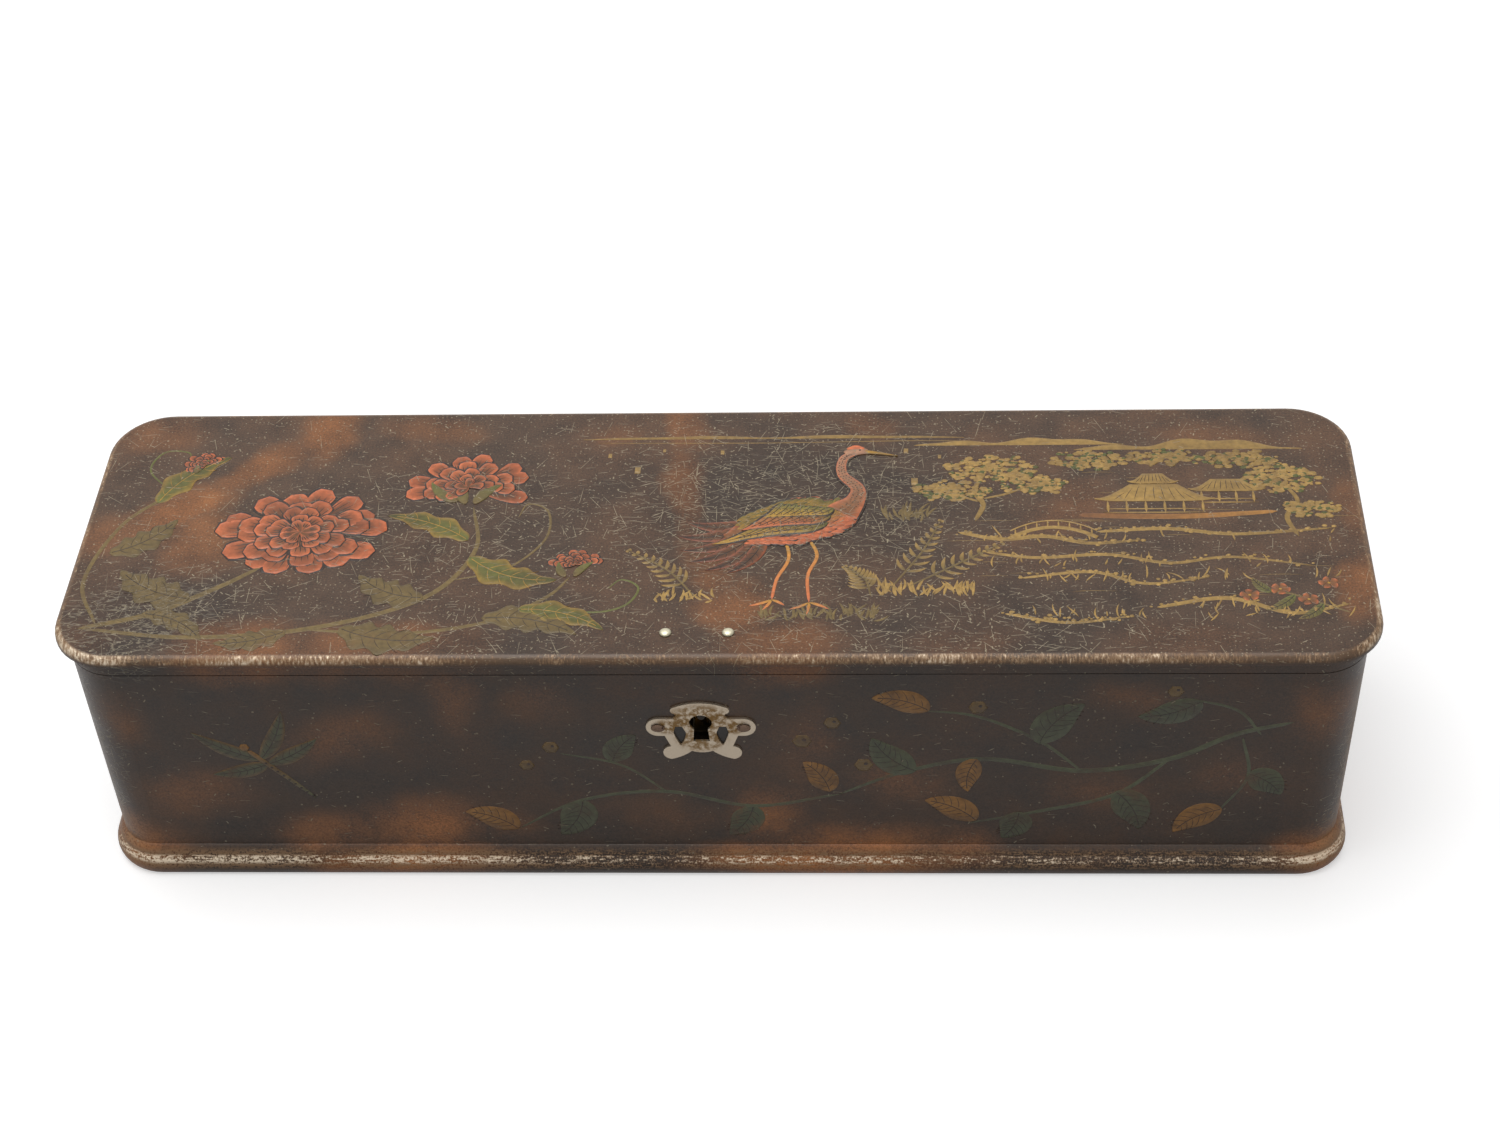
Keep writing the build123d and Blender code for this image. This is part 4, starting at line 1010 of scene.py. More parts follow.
class GLOVEBOX_OT_lining(bpy.types.Operator):
    """Covers the walls and the floor with satin on card"""

    bl_idname = "glove_box.lining"
    bl_label = "Satin lining"

    def execute(self, context):
        material = satin("crimson satin on card", context.scene.glove_box_lining)
        self.walls(material)
        self.floor(material)
        return {"FINISHED"}

    def walls(self, material):
        """A band of covered card that follows the leaning walls, lower where the lock stands.

        Its profile is a long rounded bar: thickness 1.2 mm, its top edge half round. The top's height
        is the card's, and falls to under the lock between the lock's two sides.
        """
        thick, gap, corner = 1.2, 0.3, 7.4
        path = rounded_path(LINING_HIGH[0] - thick / 2, LINING_HIGH[1] - thick / 2, corner, straight=60)
        gate = between(path[:, 0], LOCK_LOW[0] - gap, LOCK_HIGH[0] + gap, 1.2) * (path[:, 1] < 0)
        low, high = LINING_LOW[2], LINING_HIGH[2]
        top = high * (1 - gate) + (LOCK_LOW[2] - gap) * gate
        inner = stacked(-thick / 2, np.concatenate([[0], np.linspace(0.01, 0.985, 14), [1]]))
        inner[0, 0] = -thick / 2 + 0.25
        inner[-1, 0] = -thick * 0.22
        across, up = np.concatenate([inner, inner[::-1] * (-1, 1)]).T
        height = low + (top[:, None] - low) * up
        lean = -(high - height) * WALL_SLOPE
        wave = 0.09 * np.sin(path[:, :1] * 0.9 + path[:, 1:] * 0.7) * (1 - up) ** 2
        points, triangles = ring_surface(path, across + lean + wave * (across < 0), height)
        piece = laid_mesh("wall_satin", points, triangles, "body", material)
        around = np.concatenate([[0], np.cumsum(np.linalg.norm(np.diff(path, axis=0), axis=1))])
        cloth_coordinates(piece.data, stacked(around[:, None], height).reshape(-1, 2))
        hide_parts("wall_lining")

    def floor(self, material):
        """A covered card: a rounded rectangle whose edge turns down in a quarter round.

        Rings of the outline shrink towards the middle line, and the top has faint folds towards
        the edge.
        """
        half_x, half_y, level = FLOOR_HIGH
        path = rounded_path(half_x, half_y, 6.2, straight=40)
        inward = np.array([0, 0, 0.3, 1.0, 2.5, 6, 12, 20, 28, 35]) / 36.3
        drops = np.array([1.2, 0.35, 0.08, 0, 0, 0.04, 0.03, 0.02, 0, 0])
        spine = np.clip(path[:, 0], half_y - half_x, half_x - half_y)
        plan = path[:, None] * (1 - inward[:, None]) + stacked(spine, 0)[:, None] * inward[:, None]
        fold = 0.06 * np.sin(path[:, :1] * 0.55) * np.exp(-((inward * 36 - 4) / 4) ** 2)
        height = level - drops - np.abs(fold)
        rings = np.concatenate([plan, height[..., None]], -1).reshape(-1, 3)
        points = np.vstack([rings, stacked(spine, 0, level), stacked(spine, 0, FLOOR_LOW[2])])
        a = np.arange(height.size).reshape(height.shape)
        b = np.roll(a, -1, axis=0)
        top = height.size + np.arange(len(path))
        bottom = top + len(path)
        triangles = halved(
            (a[:, :-1], b[:, :-1], b[:, 1:], a[:, 1:]),
            (a[:, -1], b[:, -1], np.roll(top, -1), top),
            (b[:, 0], a[:, 0], bottom, np.roll(bottom, -1)),
        )
        # The two middle lines fold onto themselves, so equal points there are merged
        _, first, inverse = np.unique(np.round(points, 4), axis=0, return_index=True, return_inverse=True)
        points, triangles = points[first], inverse.ravel()[triangles]
        i, j, k = triangles.T
        triangles = triangles[(i != j) & (j != k) & (i != k)]
        triangles = outward(points, triangles)
        piece = laid_mesh("floor_satin", points, triangles, "body", material)
        cloth_coordinates(piece.data, points[:, :2])
        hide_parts("floor_lining")


class GLOVEBOX_OT_lid_pad(bpy.types.Operator):
    """Makes the padded satin panel inside the lid"""

    bl_idname = "glove_box.lid_pad"
    bl_label = "Lid pad"

    def execute(self, context):
        lining = context.scene.glove_box_lining
        material = satin("crimson satin, padded", lining)
        half_x, half_y, corner, gap = PAD_HIGH[0] - 0.2, PAD_HIGH[1] - 0.2, 7.8, 0.8
        under = PAD_HIGH[2]
        # A grid across the lid, closer at the ends, whose front edge runs round the strike
        u = np.linspace(-1, 1, 121)
        x = half_x * np.sign(u) * (1 - (1 - np.abs(u)) ** 1.15)
        reach = np.clip(np.abs(x) - (half_x - corner), 0, corner)
        top = half_y - (corner - np.sqrt(corner**2 - reach**2))
        gate = between(x, STRIKE_LOW[0] - gap, STRIKE_HIGH[0] + gap, 3)
        bottom = -top * (1 - gate) + (STRIKE_HIGH[1] + gap) * gate
        v = np.linspace(0, 1, 33)
        v = v * v * (3 - 2 * v) * 0.35 + v * 0.65
        x, top, bottom = x[:, None], top[:, None], bottom[:, None]
        y = bottom * (1 - v) + top * v
        plan = stacked(x, y)
        inside = np.minimum(np.minimum(half_x - np.abs(x), top - y), y - bottom)
        # It is held at its edge and at seven tufts, and rounds down to 1.8 mm within 5 mm of the edge
        start = under - 0.5 - 1.3 * (1 - (1 - np.clip(inside / 5, 0, 1)) ** 2)
        tufts = stacked(np.arange(-108.0, 109, 36), 0)
        near = np.linalg.norm(plan[:, :, None] - tufts, axis=-1).min(axis=-1) < 1.6
        start = np.where(near, under - 0.9, start)
        sagged = self.simulate(context, plan, start, (inside <= 0.01) | near)
        soft = np.maximum(sagged, PAD_LOW[2] - 0.3)
        points = np.stack([stacked(x, y, soft), stacked(x, y, under - 0.01)]).reshape(-1, 3)
        index = np.arange(y.size).reshape(y.shape)
        low = halved((index[:-1, :-1], index[1:, :-1], index[1:, 1:], index[:-1, 1:]))
        rim = np.concatenate([index[:, 0], index[-1, 1:], index[-2::-1, -1], index[0, -2:0:-1]])
        onward = np.roll(rim, -1)
        sides = halved((rim, onward, onward + y.size, rim + y.size))
        triangles = outward(points, np.concatenate([low, low[:, ::-1] + y.size, sides[:, ::-1]]))
        pad = laid_mesh("lid_pad_satin", points, triangles, "lid", material)
        cloth_coordinates(pad.data, points[:, :2])
        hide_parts("lid_pad")
        # Covered buttons 4 mm across over the tufts
        turn = np.linspace(0, np.pi / 2, 6)[:-1]
        radii, heights = [1.2, *(2.0 * np.cos(turn)), 0.2], [0.6, *(-0.9 * np.sin(turn)), -0.9]
        button = turned_piece(radii, heights, count=20)
        points, triangles = set_out(*button, stacked(*tufts.T, under - 1.1))
        triangles = outward(points, triangles)
        buttons = laid_mesh("pad_buttons", points, triangles, "lid", material)
        cloth_coordinates(buttons.data, points[:, :2])
        return {"FINISHED"}

    def simulate(self, context, plan, start, held):
        """Lets a slightly long cloth hang between its held edge and tufts, and returns its heights in mm."""
        points = np.concatenate([plan, start[..., None]], -1).reshape(-1, 3)
        index = np.arange(start.size).reshape(start.shape)
        faces = np.stack([index[:-1, :-1], index[1:, :-1], index[1:, 1:], index[:-1, 1:]], -1).reshape(-1, 4)
        mesh = bpy.data.meshes.new("pad cloth")
        mesh.from_pydata((points / MM).tolist(), [], faces.tolist())
        cloth_object = bpy.data.objects.new("pad cloth", mesh)
        context.scene.collection.objects.link(cloth_object)
        group = cloth_object.vertex_groups.new(name="held")
        group.add(np.flatnonzero(held.ravel()).tolist(), 1.0, "REPLACE")
        cloth = cloth_object.modifiers.new("cloth", "CLOTH")
        cloth.settings.quality = 6
        cloth.settings.mass = 0.02
        cloth.settings.tension_stiffness = 20
        cloth.settings.compression_stiffness = 20
        cloth.settings.shear_stiffness = 8
        cloth.settings.bending_stiffness = 0.02
        cloth.settings.vertex_group_mass = "held"
        cloth.settings.shrink_min = -0.012
        cloth.collision_settings.use_collision = False
        cloth.collision_settings.use_self_collision = False
        for step in range(1, 21):
            context.scene.frame_set(step)
        evaluated = cloth_object.evaluated_get(context.evaluated_depsgraph_get())
        result = np.empty(start.size * 3)
        evaluated.data.vertices.foreach_get("co", result)
        context.scene.frame_set(1)
        bpy.data.objects.remove(cloth_object)
        bpy.data.meshes.remove(mesh)
        heights = result[2::3].reshape(start.shape) * MM
        need(np.isfinite(heights).all(), "the pad's cloth did not settle")
        return heights


class GLOVEBOX_OT_lid_flowers(bpy.types.Operator):
    """Paints the chrysanthemums and their leaves on the lid's left third"""

    bl_idname = "glove_box.lid_flowers"
    bl_label = "Lid flowers"

    def execute(self, context):
        settings, ink = paints()
        material = coloured_lacquer("oil colour on lacquer", settings.rubbing)
        layer = settings.relief
        random = np.random.default_rng(settings.seed)
        olive, green, yellow = ink.olive, ink.green, ink.yellow
        lines = [
            ([(-144, -34), (-128, -29), (-114, -20), (-104, -12)], 1.9, olive),
            ([(-143, -34), (-118, -37), (-90, -34), (-66, -24), (-56, -8), (-58, 8)], 1.7, olive),
            ([(-92, -34.5), (-70, -36), (-50, -32), (-38, -24), (-33, -17)], 1.3, olive),
            ([(-140, -33), (-146, -18), (-141, 2), (-131, 14), (-126, 22)], 1.2, olive),
            ([(-38, -25), (-28, -29), (-20, -27), (-17, -21), (-21, -18), (-24, -21)], 0.7, green),
            ([(-131, 14), (-138, 22), (-136, 29), (-130, 29), (-129, 25)], 0.6, green),
            ([(-60, -18), (-48, -14), (-40, -4), (-40, 6), (-45, 9), (-47, 4)], 0.7, olive),
        ]
        stems = [brush_line(knots, width, 0.02, layer, colour) for knots, width, colour in lines]
        painted_piece("lid_stems", stems, material)
        broad = leaves(
            [(-120, -24), (-84, -34), (-66, -24), (-142, -8), (-96, -35), (-52, -31), (-130, -29)],
            [(-138, -14), (-62, -37.5), (-82, -16), (-128, 4), (-112, -39), (-30, -36.5), (-115, -38)],
            [0.1, -0.1, 0.12, -0.1, 0.08, 0.1, 0.12], [11, 11, 10, 9, 7.5, 9.5, 7],
            4, 0.07, layer, olive * 0.95, olive * 0.8, olive * 0.6, ink.outline,
        )
        fresh = leaves(
            [(-57, -10), (-44, -28), (-134, 10), (-58, -4)],
            [(-36, -18), (-24, -35), (-119, 27), (-78, 5)],
            [-0.12, 0.1, 0.1, -0.08], [10, 7.5, 8.5, 8],
            3, 0.08, layer, green, green * 0.55, yellow * 0.7, yellow * 0.8,
        )
        painted_piece("lid_leaves", [broad, fresh], material)
        shapes = []
        for bloom in [
            ((-98, -1), 19.5, 0.78, 0, 2 * np.pi),
            ((-60, 15), 14.5, 0.86, -0.25, np.pi + 0.25),
            ((-32, -13), 6.5, 0.9, 0.2, np.pi - 0.2),
            ((-125, 24), 5.5, 0.9, 0.7, np.pi + 0.4),
        ]:
            shapes += self.blossom(random, layer, ink, *bloom)
        cups = leaves(
            [(-58, 9), (-60, 9), (-62, 10), (-32, -17), (-34, -17), (-127, 21)],
            [(-52, 16), (-61, 18), (-69, 17), (-28, -12), (-36, -12), (-124, 26)],
            0.1, [3, 3, 3, 2, 2, 2], 0, 0.3, layer, olive, green,
        )
        painted_piece("lid_blossoms", shapes + [cups], material)
        return {"FINISHED"}

    def blossom(self, random, layer, ink, centre, radius, squash, low, high):
        """A chrysanthemum: rows of narrow petals, each row shorter, higher and turned against the last.

        Every petal lies on a slightly larger dark one, which draws its outline.
        """
        shapes = []
        whole = high - low > 6
        rows = [(1.0, 0.2), (0.8, 0.15), (0.6, 0.1), (0.42, 0.06), (0.26, 0.0)]
        for row, (reach, heart) in enumerate(rows):
            count = max(int((high - low) * (2.3 - 0.25 * row)), 4)
            angles = np.linspace(low, high, count, endpoint=not whole) + row * 0.11
            angles = angles + random.uniform(-0.05, 0.05, count)
            outer = radius * reach * random.uniform(0.9, 1.05, count)
            wide = radius * reach * 2 * np.sin((high - low) / count / 2) * 1.05
            lift = 0.04 + row * 0.075 + (np.arange(count) % 3) * 0.012
            bright = varied(ink.coral, count, 0.25, random)
            root = varied(ink.petal, count, 0.2, random) * (1.0 + 0.1 * row)
            dark = np.tile(ink.outline * 1.1, (count, 1))
            for grown, width, above, rise, colours in (
                (0.3, wide + 0.35, 0, layer * 0.4, (dark, dark, dark)),
                (0, wide * 0.86, 0.03, layer, (root * 0.45, bright * 0.85, bright)),
            ):
                blades = (centre, radius * heart, outer + grown, angles, squash, width, lift + above)
                shapes.append(petals(*blades, rise, *colours))
            for shift in (-0.22, 0.0, 0.22):
                rays = ray(angles + shift * wide / outer, squash)
                start, stop = (centre + rays * (outer * far)[:, None] for far in (0.45, 0.86))
                fine, above = radius * 0.016 + 0.1, lift + 0.03 + layer
                shapes.append(brush_marks(start, stop, 0.03, fine, above, 0.015, dark * 1.4, count=5))
        return shapes


class GLOVEBOX_OT_lid_crane(bpy.types.Operator):
    """Paints the crane and the grasses in the lid's middle"""

    bl_idname = "glove_box.lid_crane"
    bl_label = "Lid crane"

    def execute(self, context):
        settings, ink = paints()
        material = coloured_lacquer("oil colour on lacquer, feathers", settings.rubbing * 0.6)
        random = np.random.default_rng(settings.seed + 1)
        painted_piece("lid_crane", self.bird(random, settings.relief, ink), material)
        painted_piece("lid_grasses", self.grasses(random, settings.relief, ink), material)
        return {"FINISHED"}

    def bird(self, random, layer, ink):
        """A standing crane: body, neck and head are bars of changing width, feathers are pointed leaves."""
        coral, petal, yellow, line = ink.coral, ink.petal, ink.yellow, ink.outline
        white = coral * 0.45 + srgb("cbb79a") * 0.55

        def at(points):
            """Points of the drawing, moved to the crane's place on the lid."""
            return np.asarray(points, float) + (18, 0)

        def form(knots, widths, lift, root, tip, edge, count=40):
            """A bar through knots whose half width changes along it."""
            path = smooth_path(at(knots), count)[None]
            half = np.interp(np.linspace(0, 1, count), np.linspace(0, 1, len(widths)), widths)
            half = np.convolve(np.pad(half, 2, mode="edge"), np.ones(5) / 5, mode="valid")
            return carried(path, half, half, LEAF, lift, layer * 1.6, root, tip, edge)

        legs = [
            brush_line(at(knots), 0.95, 0.04, layer, yellow, coral, count=20, swell=0.1)
            for knots in (
                [(-2, -4), (-1, -11), (-3.5, -18), (-4.5, -25)],
                [(3.5, -4), (5.5, -10), (3.5, -17), (4.0, -26)],
            )
        ]
        heels = at([(-4.5, -25)] * 3 + [(4, -26)] * 3)
        toes = at([(-9.5, -27), (-6.5, -28.5), (-1.5, -27), (-0.5, -28.3), (3.5, -30), (8.5, -28.3)])
        feet = brush_marks(heels, toes, 0.05, 0.9, 0.05, layer, yellow, coral)
        tail = leaves(
            at([(-10, 2), (-10, 1), (-10, 0), (-9, -1), (-8, -2), (-7, -3)]),
            at([(-25, 2), (-27, -3), (-26, -8), (-24, -12), (-20, -15), (-15, -16)]),
            [0.12, 0.12, 0.14, 0.14, 0.14, 0.12], 3.8, 0, 0.06 + np.arange(6) * 0.02, layer,
            petal * 0.8, line, coral * 0.5, line * 0.7,
        )
        spine, girth = [(-16, -3.5), (-8, 0), (1, 2.5), (9, 5), (12.5, 9)], [0.8, 6.2, 8.8, 7.2, 3.0]
        shapes = [
            *legs, feet, tail,
            form(spine, [width + 0.4 for width in girth], 0.05, line, line, line),
            form(spine, girth, 0.14, petal, petal * 1.2, coral * 0.8),
            self.feathers(random, at(spine), girth, layer, ink),
        ]
        neck = [(11, 5), (14, 9.5), (14.5, 14), (11, 19), (11, 24.5), (14, 27.5)]
        slim = [4.6, 2.5, 1.75, 1.35, 1.15, 1.0]
        s = np.linspace(0.06, 0.9, 30)
        spots = smooth_path(at(neck), 200)[(s * 199).astype(int)]
        wide = np.interp(s, np.linspace(0, 1, 6), slim) * 0.5
        spots = np.concatenate([spots + stacked(wide * side, side * 0.3) for side in (-1, 0, 1)])
        head, cap = [(11.5, 26.6), (14, 27.8), (16.8, 27.6)], [(12, 28.4), (14, 29.2), (16, 28.6)]
        beak = [(16.2, 27.5), (20, 26.8), (24, 25.8)]
        shapes += [
            form(neck, [5.0, 3.0, 2.2, 1.8, 1.6, 1.4], 0.3, line, line, line),
            form(neck, slim, 0.38, petal * 1.1, white * 0.7, coral),
            dabs(spots + random.normal(0, 0.1, spots.shape), 0.26, 0.48, 0.03, line * 1.2),
            form(head, [1.0, 1.9, 0.8], 0.44, white * 0.9, white * 0.6, petal, 16),
            form(cap, [0.3, 0.8, 0.25], 0.54, coral, coral, coral, 10),
            form(beak, [0.7, 0.45, 0.08], 0.44, yellow, yellow * 0.5, line, 12),
            dabs(at([(15, 28.0)]), 0.42, 0.58, 0.05, line * 0.3),
        ]
        for start, end, length, angle, root, tip, width, lift in [
            ((8, 1.5), (-4, 4.5), 13.5, -2.75, ink.green * 0.7, yellow, 3.0, 0.36),
            ((8.5, 4.2), (-4, 6.8), 8.5, -2.6, ink.green * 0.8, coral * 0.9, 2.7, 0.46),
            ((9, 6.6), (-3, 8.6), 5.0, -2.45, ink.green, yellow, 2.5, 0.56),
        ]:
            s = np.linspace(0, 1, 8)
            base = at(np.array(start) * (1 - s[:, None]) + np.array(end) * s[:, None])
            stop = base + ray(angle + (s - 0.5) * 0.45) * (length * (1 + 0.35 * s))[:, None]
            above = lift + (1 - s) * 0.05
            row = partial(leaves, base, stop, 0.1, count=15)
            shapes.append(row(width + 0.75, 0, above - 0.04, layer * 0.4, line, line))
            shapes.append(row(width * 0.8, 0, above, layer, root, tip, None, line))
        return shapes

    def feathers(self, random, spine, girth, layer, ink):
        """Overlapping scale feathers over a body.

        They stand on a grid of distance along the spine and share of the girth across it, every
        other row shifted by half a step, and point to the tail. Those nearer the neck lie higher.
        """
        along, across = np.meshgrid(np.linspace(0.2, 0.97, 17), np.linspace(-0.92, 0.86, 10), indexing="ij")
        along = (along + np.where(np.arange(10) % 2, 0.024, 0.0)).ravel()
        across = across.ravel()
        path = smooth_path(spine, 200)
        place = (along * 199).astype(int).clip(0, 199)
        ahead = unit(np.gradient(path, axis=0))[place]
        side = leftward(ahead)
        wide = np.interp(along, np.linspace(0, 1, len(girth)), girth)
        base = path[place] + side * (wide * across)[:, None]
        base += random.normal(0, 0.12, base.shape)
        tip = base - ahead * 2.9 + side * (across * -0.9)[:, None]
        lift = 0.2 + along * 0.1
        breast = np.clip((-across - 0.05) / 0.6, 0, 1)[:, None]
        back = np.clip((across + 0.1) / 0.6, 0, 1)[:, None] * (1 - breast)
        colour = ink.coral * 0.75 * breast + ink.green * 0.8 * back + ink.petal * 1.2 * (1 - breast - back)
        colour = colour * random.uniform(0.75, 1.2, (len(colour), 1))
        rim = ink.coral * breast + ink.yellow * 0.8 * (1 - breast)
        dark = leaves(base, tip, 0.0, 2.5, 0, lift, layer * 0.4, ink.outline, ink.outline, count=8)
        tip = tip - ahead * 0.35
        bright = leaves(base, tip, 0.0, 1.5, 0, lift + 0.025, layer, colour * 0.6, rim, colour, count=8)
        return joined([dark, bright])

    def grasses(self, random, layer, ink):
        """Ground strokes, reeds and fern sprigs about the crane's feet."""
        shapes = []
        for middle, width, count, tall, colour in [
            ((24, -31), 26, 60, 4.2, ink.olive), ((48, -23), 22, 46, 5.0, ink.gold),
            ((-6, -25), 14, 22, 4.0, ink.gold), ((44, 3), 10, 26, 5.5, ink.olive),
        ]:
            base = np.array(middle) + random.uniform(-0.5, 0.5, (count, 2)) * (width, 2.5)
            lean = random.normal(0, 0.45, count)
            length = tall * random.uniform(0.5, 1.1, count)
            tip = base + stacked(np.sin(lean), np.cos(lean)) * length[:, None]
            bow = random.uniform(-0.15, 0.15, count)
            shade = varied(colour, count, 0.15, random)
            shapes.append(brush_marks(base, tip, bow, 0.75, 0.04, layer, shade, count=6))
        sprigs = [(40, -22, 52, 2), (44, -21, 66, -6), (-4, -24, -20, -8), (36, -24, 30, -14)]
        for root, tip in np.reshape(sprigs, (-1, 2, 2)).astype(float):
            shapes.append(brush_line([root, (root + tip) / 2 + (1.5, 1), tip], 0.6, 0.04, layer, ink.olive))
            s = np.linspace(0.25, 1, 9)[:, None]
            node = root * (1 - s) + tip * s + (1.2, 0.8) * (1 - (2 * s - 1) ** 2)
            ahead = unit(tip - root)
            for turn in (-1, 1):
                end = node + (ahead * 0.8 + leftward(ahead) * turn) * (4.2 * (1.15 - s))
                fronds = brush_marks(node, end, 0.1 * turn, 1.1, 0.05, layer, ink.olive, ink.gold, count=7)
                shapes.append(fronds)
        return shapes


class GLOVEBOX_OT_lid_landscape(bpy.types.Operator):
    """Gilds the lakeside landscape on the lid's right third"""

    bl_idname = "glove_box.lid_landscape"
    bl_label = "Lid landscape"

    def execute(self, context):
        settings, ink = paints()
        material = coloured_lacquer("bronze powder on lacquer", settings.rubbing)
        layer = settings.relief
        random = np.random.default_rng(settings.seed + 2)
        gold = ink.gold
        shapes = self.hills(layer, gold) + self.foliage(random, layer, gold, ink)
        painted_piece("lid_hills_and_trees", shapes, material)
        painted_piece("lid_pavilion", self.pavilion(layer, gold, ink), material)
        painted_piece("lid_shore", self.shore(random, layer, gold, ink), material)
        return {"FINISHED"}

    def hills(self, layer, gold):
        """Flat hills: bars whose upper edge is a sum of sines and whose lower edge is straight."""
        shapes = []
        for left, right, foot, tall, phase, tone in [
            (-34, 58, 33.0, 1.8, 0.3, 0.75), (46, 96, 30.0, 3.6, 1.4, 0.9), (84, 138, 28.0, 5.0, 2.2, 0.8)
        ]:
            x = np.linspace(left, right, 80)
            s = (x - left) / (right - left)
            upper = 0.62 + 0.22 * np.sin(9 * s + phase) + 0.16 * np.sin(21 * s + phase * 2)
            upper = np.maximum(tall * np.sin(np.pi * s) ** 0.8 * upper, 0.05)
            path, colour = stacked(x, foot)[None], gold * tone
            shapes.append(carried(path, upper, 0.12, LEAF, 0.02, layer * 0.6, colour, colour))
        water = [(-30, 31.6), (10, 31.3), (44, 31.8), (60, 31.5)]
        return shapes + [brush_line(water, 0.3, 0.02, layer, gold * 0.7, count=40)]

    def foliage(self, random, layer, gold, ink):
        """Tree crowns of many small dabs, thinner at the crown's edge, on crooked trunks."""
        shapes = []
        for centre, size, count, tone in [
            ((64, 21), (11, 4.5), 255, 1.0), ((55, 13), (9, 3.2), 187, 0.9),
            ((74, 15), (8, 3.0), 153, 1.05), ((87, 24), (9, 3.5), 170, 0.85),
            ((132, 17), (9, 5.0), 238, 0.95), ((138, 6), (6.5, 3.0), 119, 0.9),
            ((122, 24), (10, 3.0), 153, 0.8), ((104, 25), (10, 2.6), 136, 0.75),
        ]:
            angle = random.uniform(0, 2 * np.pi, count)
            reach = random.uniform(0, 1, count) ** 0.6
            places = np.array(centre) + ray(angle) * reach[:, None] * np.array(size)
            places[:, 1] += 0.8 * np.sin(places[:, 0] * 1.1)
            shade = varied(gold * tone, count, 0.18, random)
            shade[::5] = ink.green * 0.7
            shapes.append(dabs(places, random.uniform(0.5, 1.3, count), 0.05, layer, shade, 0.7))
        trunks = [
            ([(60, 2), (62, 8), (60, 13), (63, 20)], 1.5), ([(61, 9), (57, 11), (54, 13)], 0.8),
            ([(62, 10), (68, 12), (73, 15)], 0.8), ([(134, -4), (132, 3), (135, 9), (131, 17)], 1.4),
            ([(134, 4), (137, 5), (139, 7)], 0.7),
        ]
        shapes += [brush_line(knots, width, 0.04, layer, gold * 0.75, count=18) for knots, width in trunks]
        return shapes

    def pavilion(self, layer, gold, ink):
        """Two pavilions on a terrace: each roof is a bar along its ridge, curved up at the eaves."""
        shapes = []
        for left, right, eave, tall, tone in [
            (88, 116, 9.0, 6.2, 1.05), (110, 128, 12.5, 4.4, 0.9), (96, 108, 15.4, 3.6, 0.98)
        ]:
            long = right - left
            s = np.linspace(0, 1, 41)
            upper = tall * np.clip(np.minimum(s, 1 - s) / 0.3, 0.02, 1) ** 1.25
            path = stacked(left + long * s, eave + 0.9 * (np.abs(2 * s - 1) ** 6))[None]
            colours = gold * tone, gold * tone * 0.9, gold * 0.75
            shapes.append(carried(path, upper, 0.25, LEAF, 0.1, layer, *colours))
            s = np.linspace(0.16, 0.84, 9)
            foot = stacked(left + long * s, eave + 0.2)
            up = tall * 0.9 * np.clip(np.minimum(s, 1 - s) / 0.3, 0, 1)
            head = foot + stacked((0.5 - s) * long * 0.32, up)
            shapes.append(brush_marks(foot, head, 0.02, 0.22, 0.1 + layer, 0.01, ink.outline, count=5))
            low = stacked(np.linspace(left + 3, right - 3, 6 if long > 20 else 4), eave - 4.2)
            shapes.append(brush_marks(low, low + (0, 4.4), 0.0, 0.8, 0.06, layer, gold, count=5))
            ends = [[(x, eave - drop) for drop in (2.9, 4.2)] for x in (left + 2, right - 2)]
            shapes.append(brush_marks(*ends, 0.0, 0.45, 0.06, layer, gold * 0.95, count=12))
        terrace = [(84, 4.0), (98, 3.4), (112, 3.5), (130, 5.0)]
        earth = ink.petal * 1.1
        shapes.append(brush_line(terrace, 2.2, 0.03, layer, earth, ink.faint_orange, count=40, swell=0.2))
        # An arched bridge: a bow with posts and a rail above it
        left, long, foot, rise = 68, 20, -4, 5.2
        s = np.linspace(0, 1, 30)
        for width, above in ((1.3, 0.0), (0.45, 2.4)):
            bow = stacked(left + long * s, foot + above + rise * 4 * s * (1 - s) * 0.7)[None]
            shapes.append(carried(bow, width / 2, width / 2, STROKE, 0.06, layer, gold, gold))
        s = np.linspace(0.06, 0.94, 8)
        low = stacked(left + long * s, foot + rise * 2.8 * s * (1 - s))
        shapes.append(brush_marks(low, low + (0, 2.5), 0.0, 0.5, 0.06, layer, gold, count=4))
        return shapes

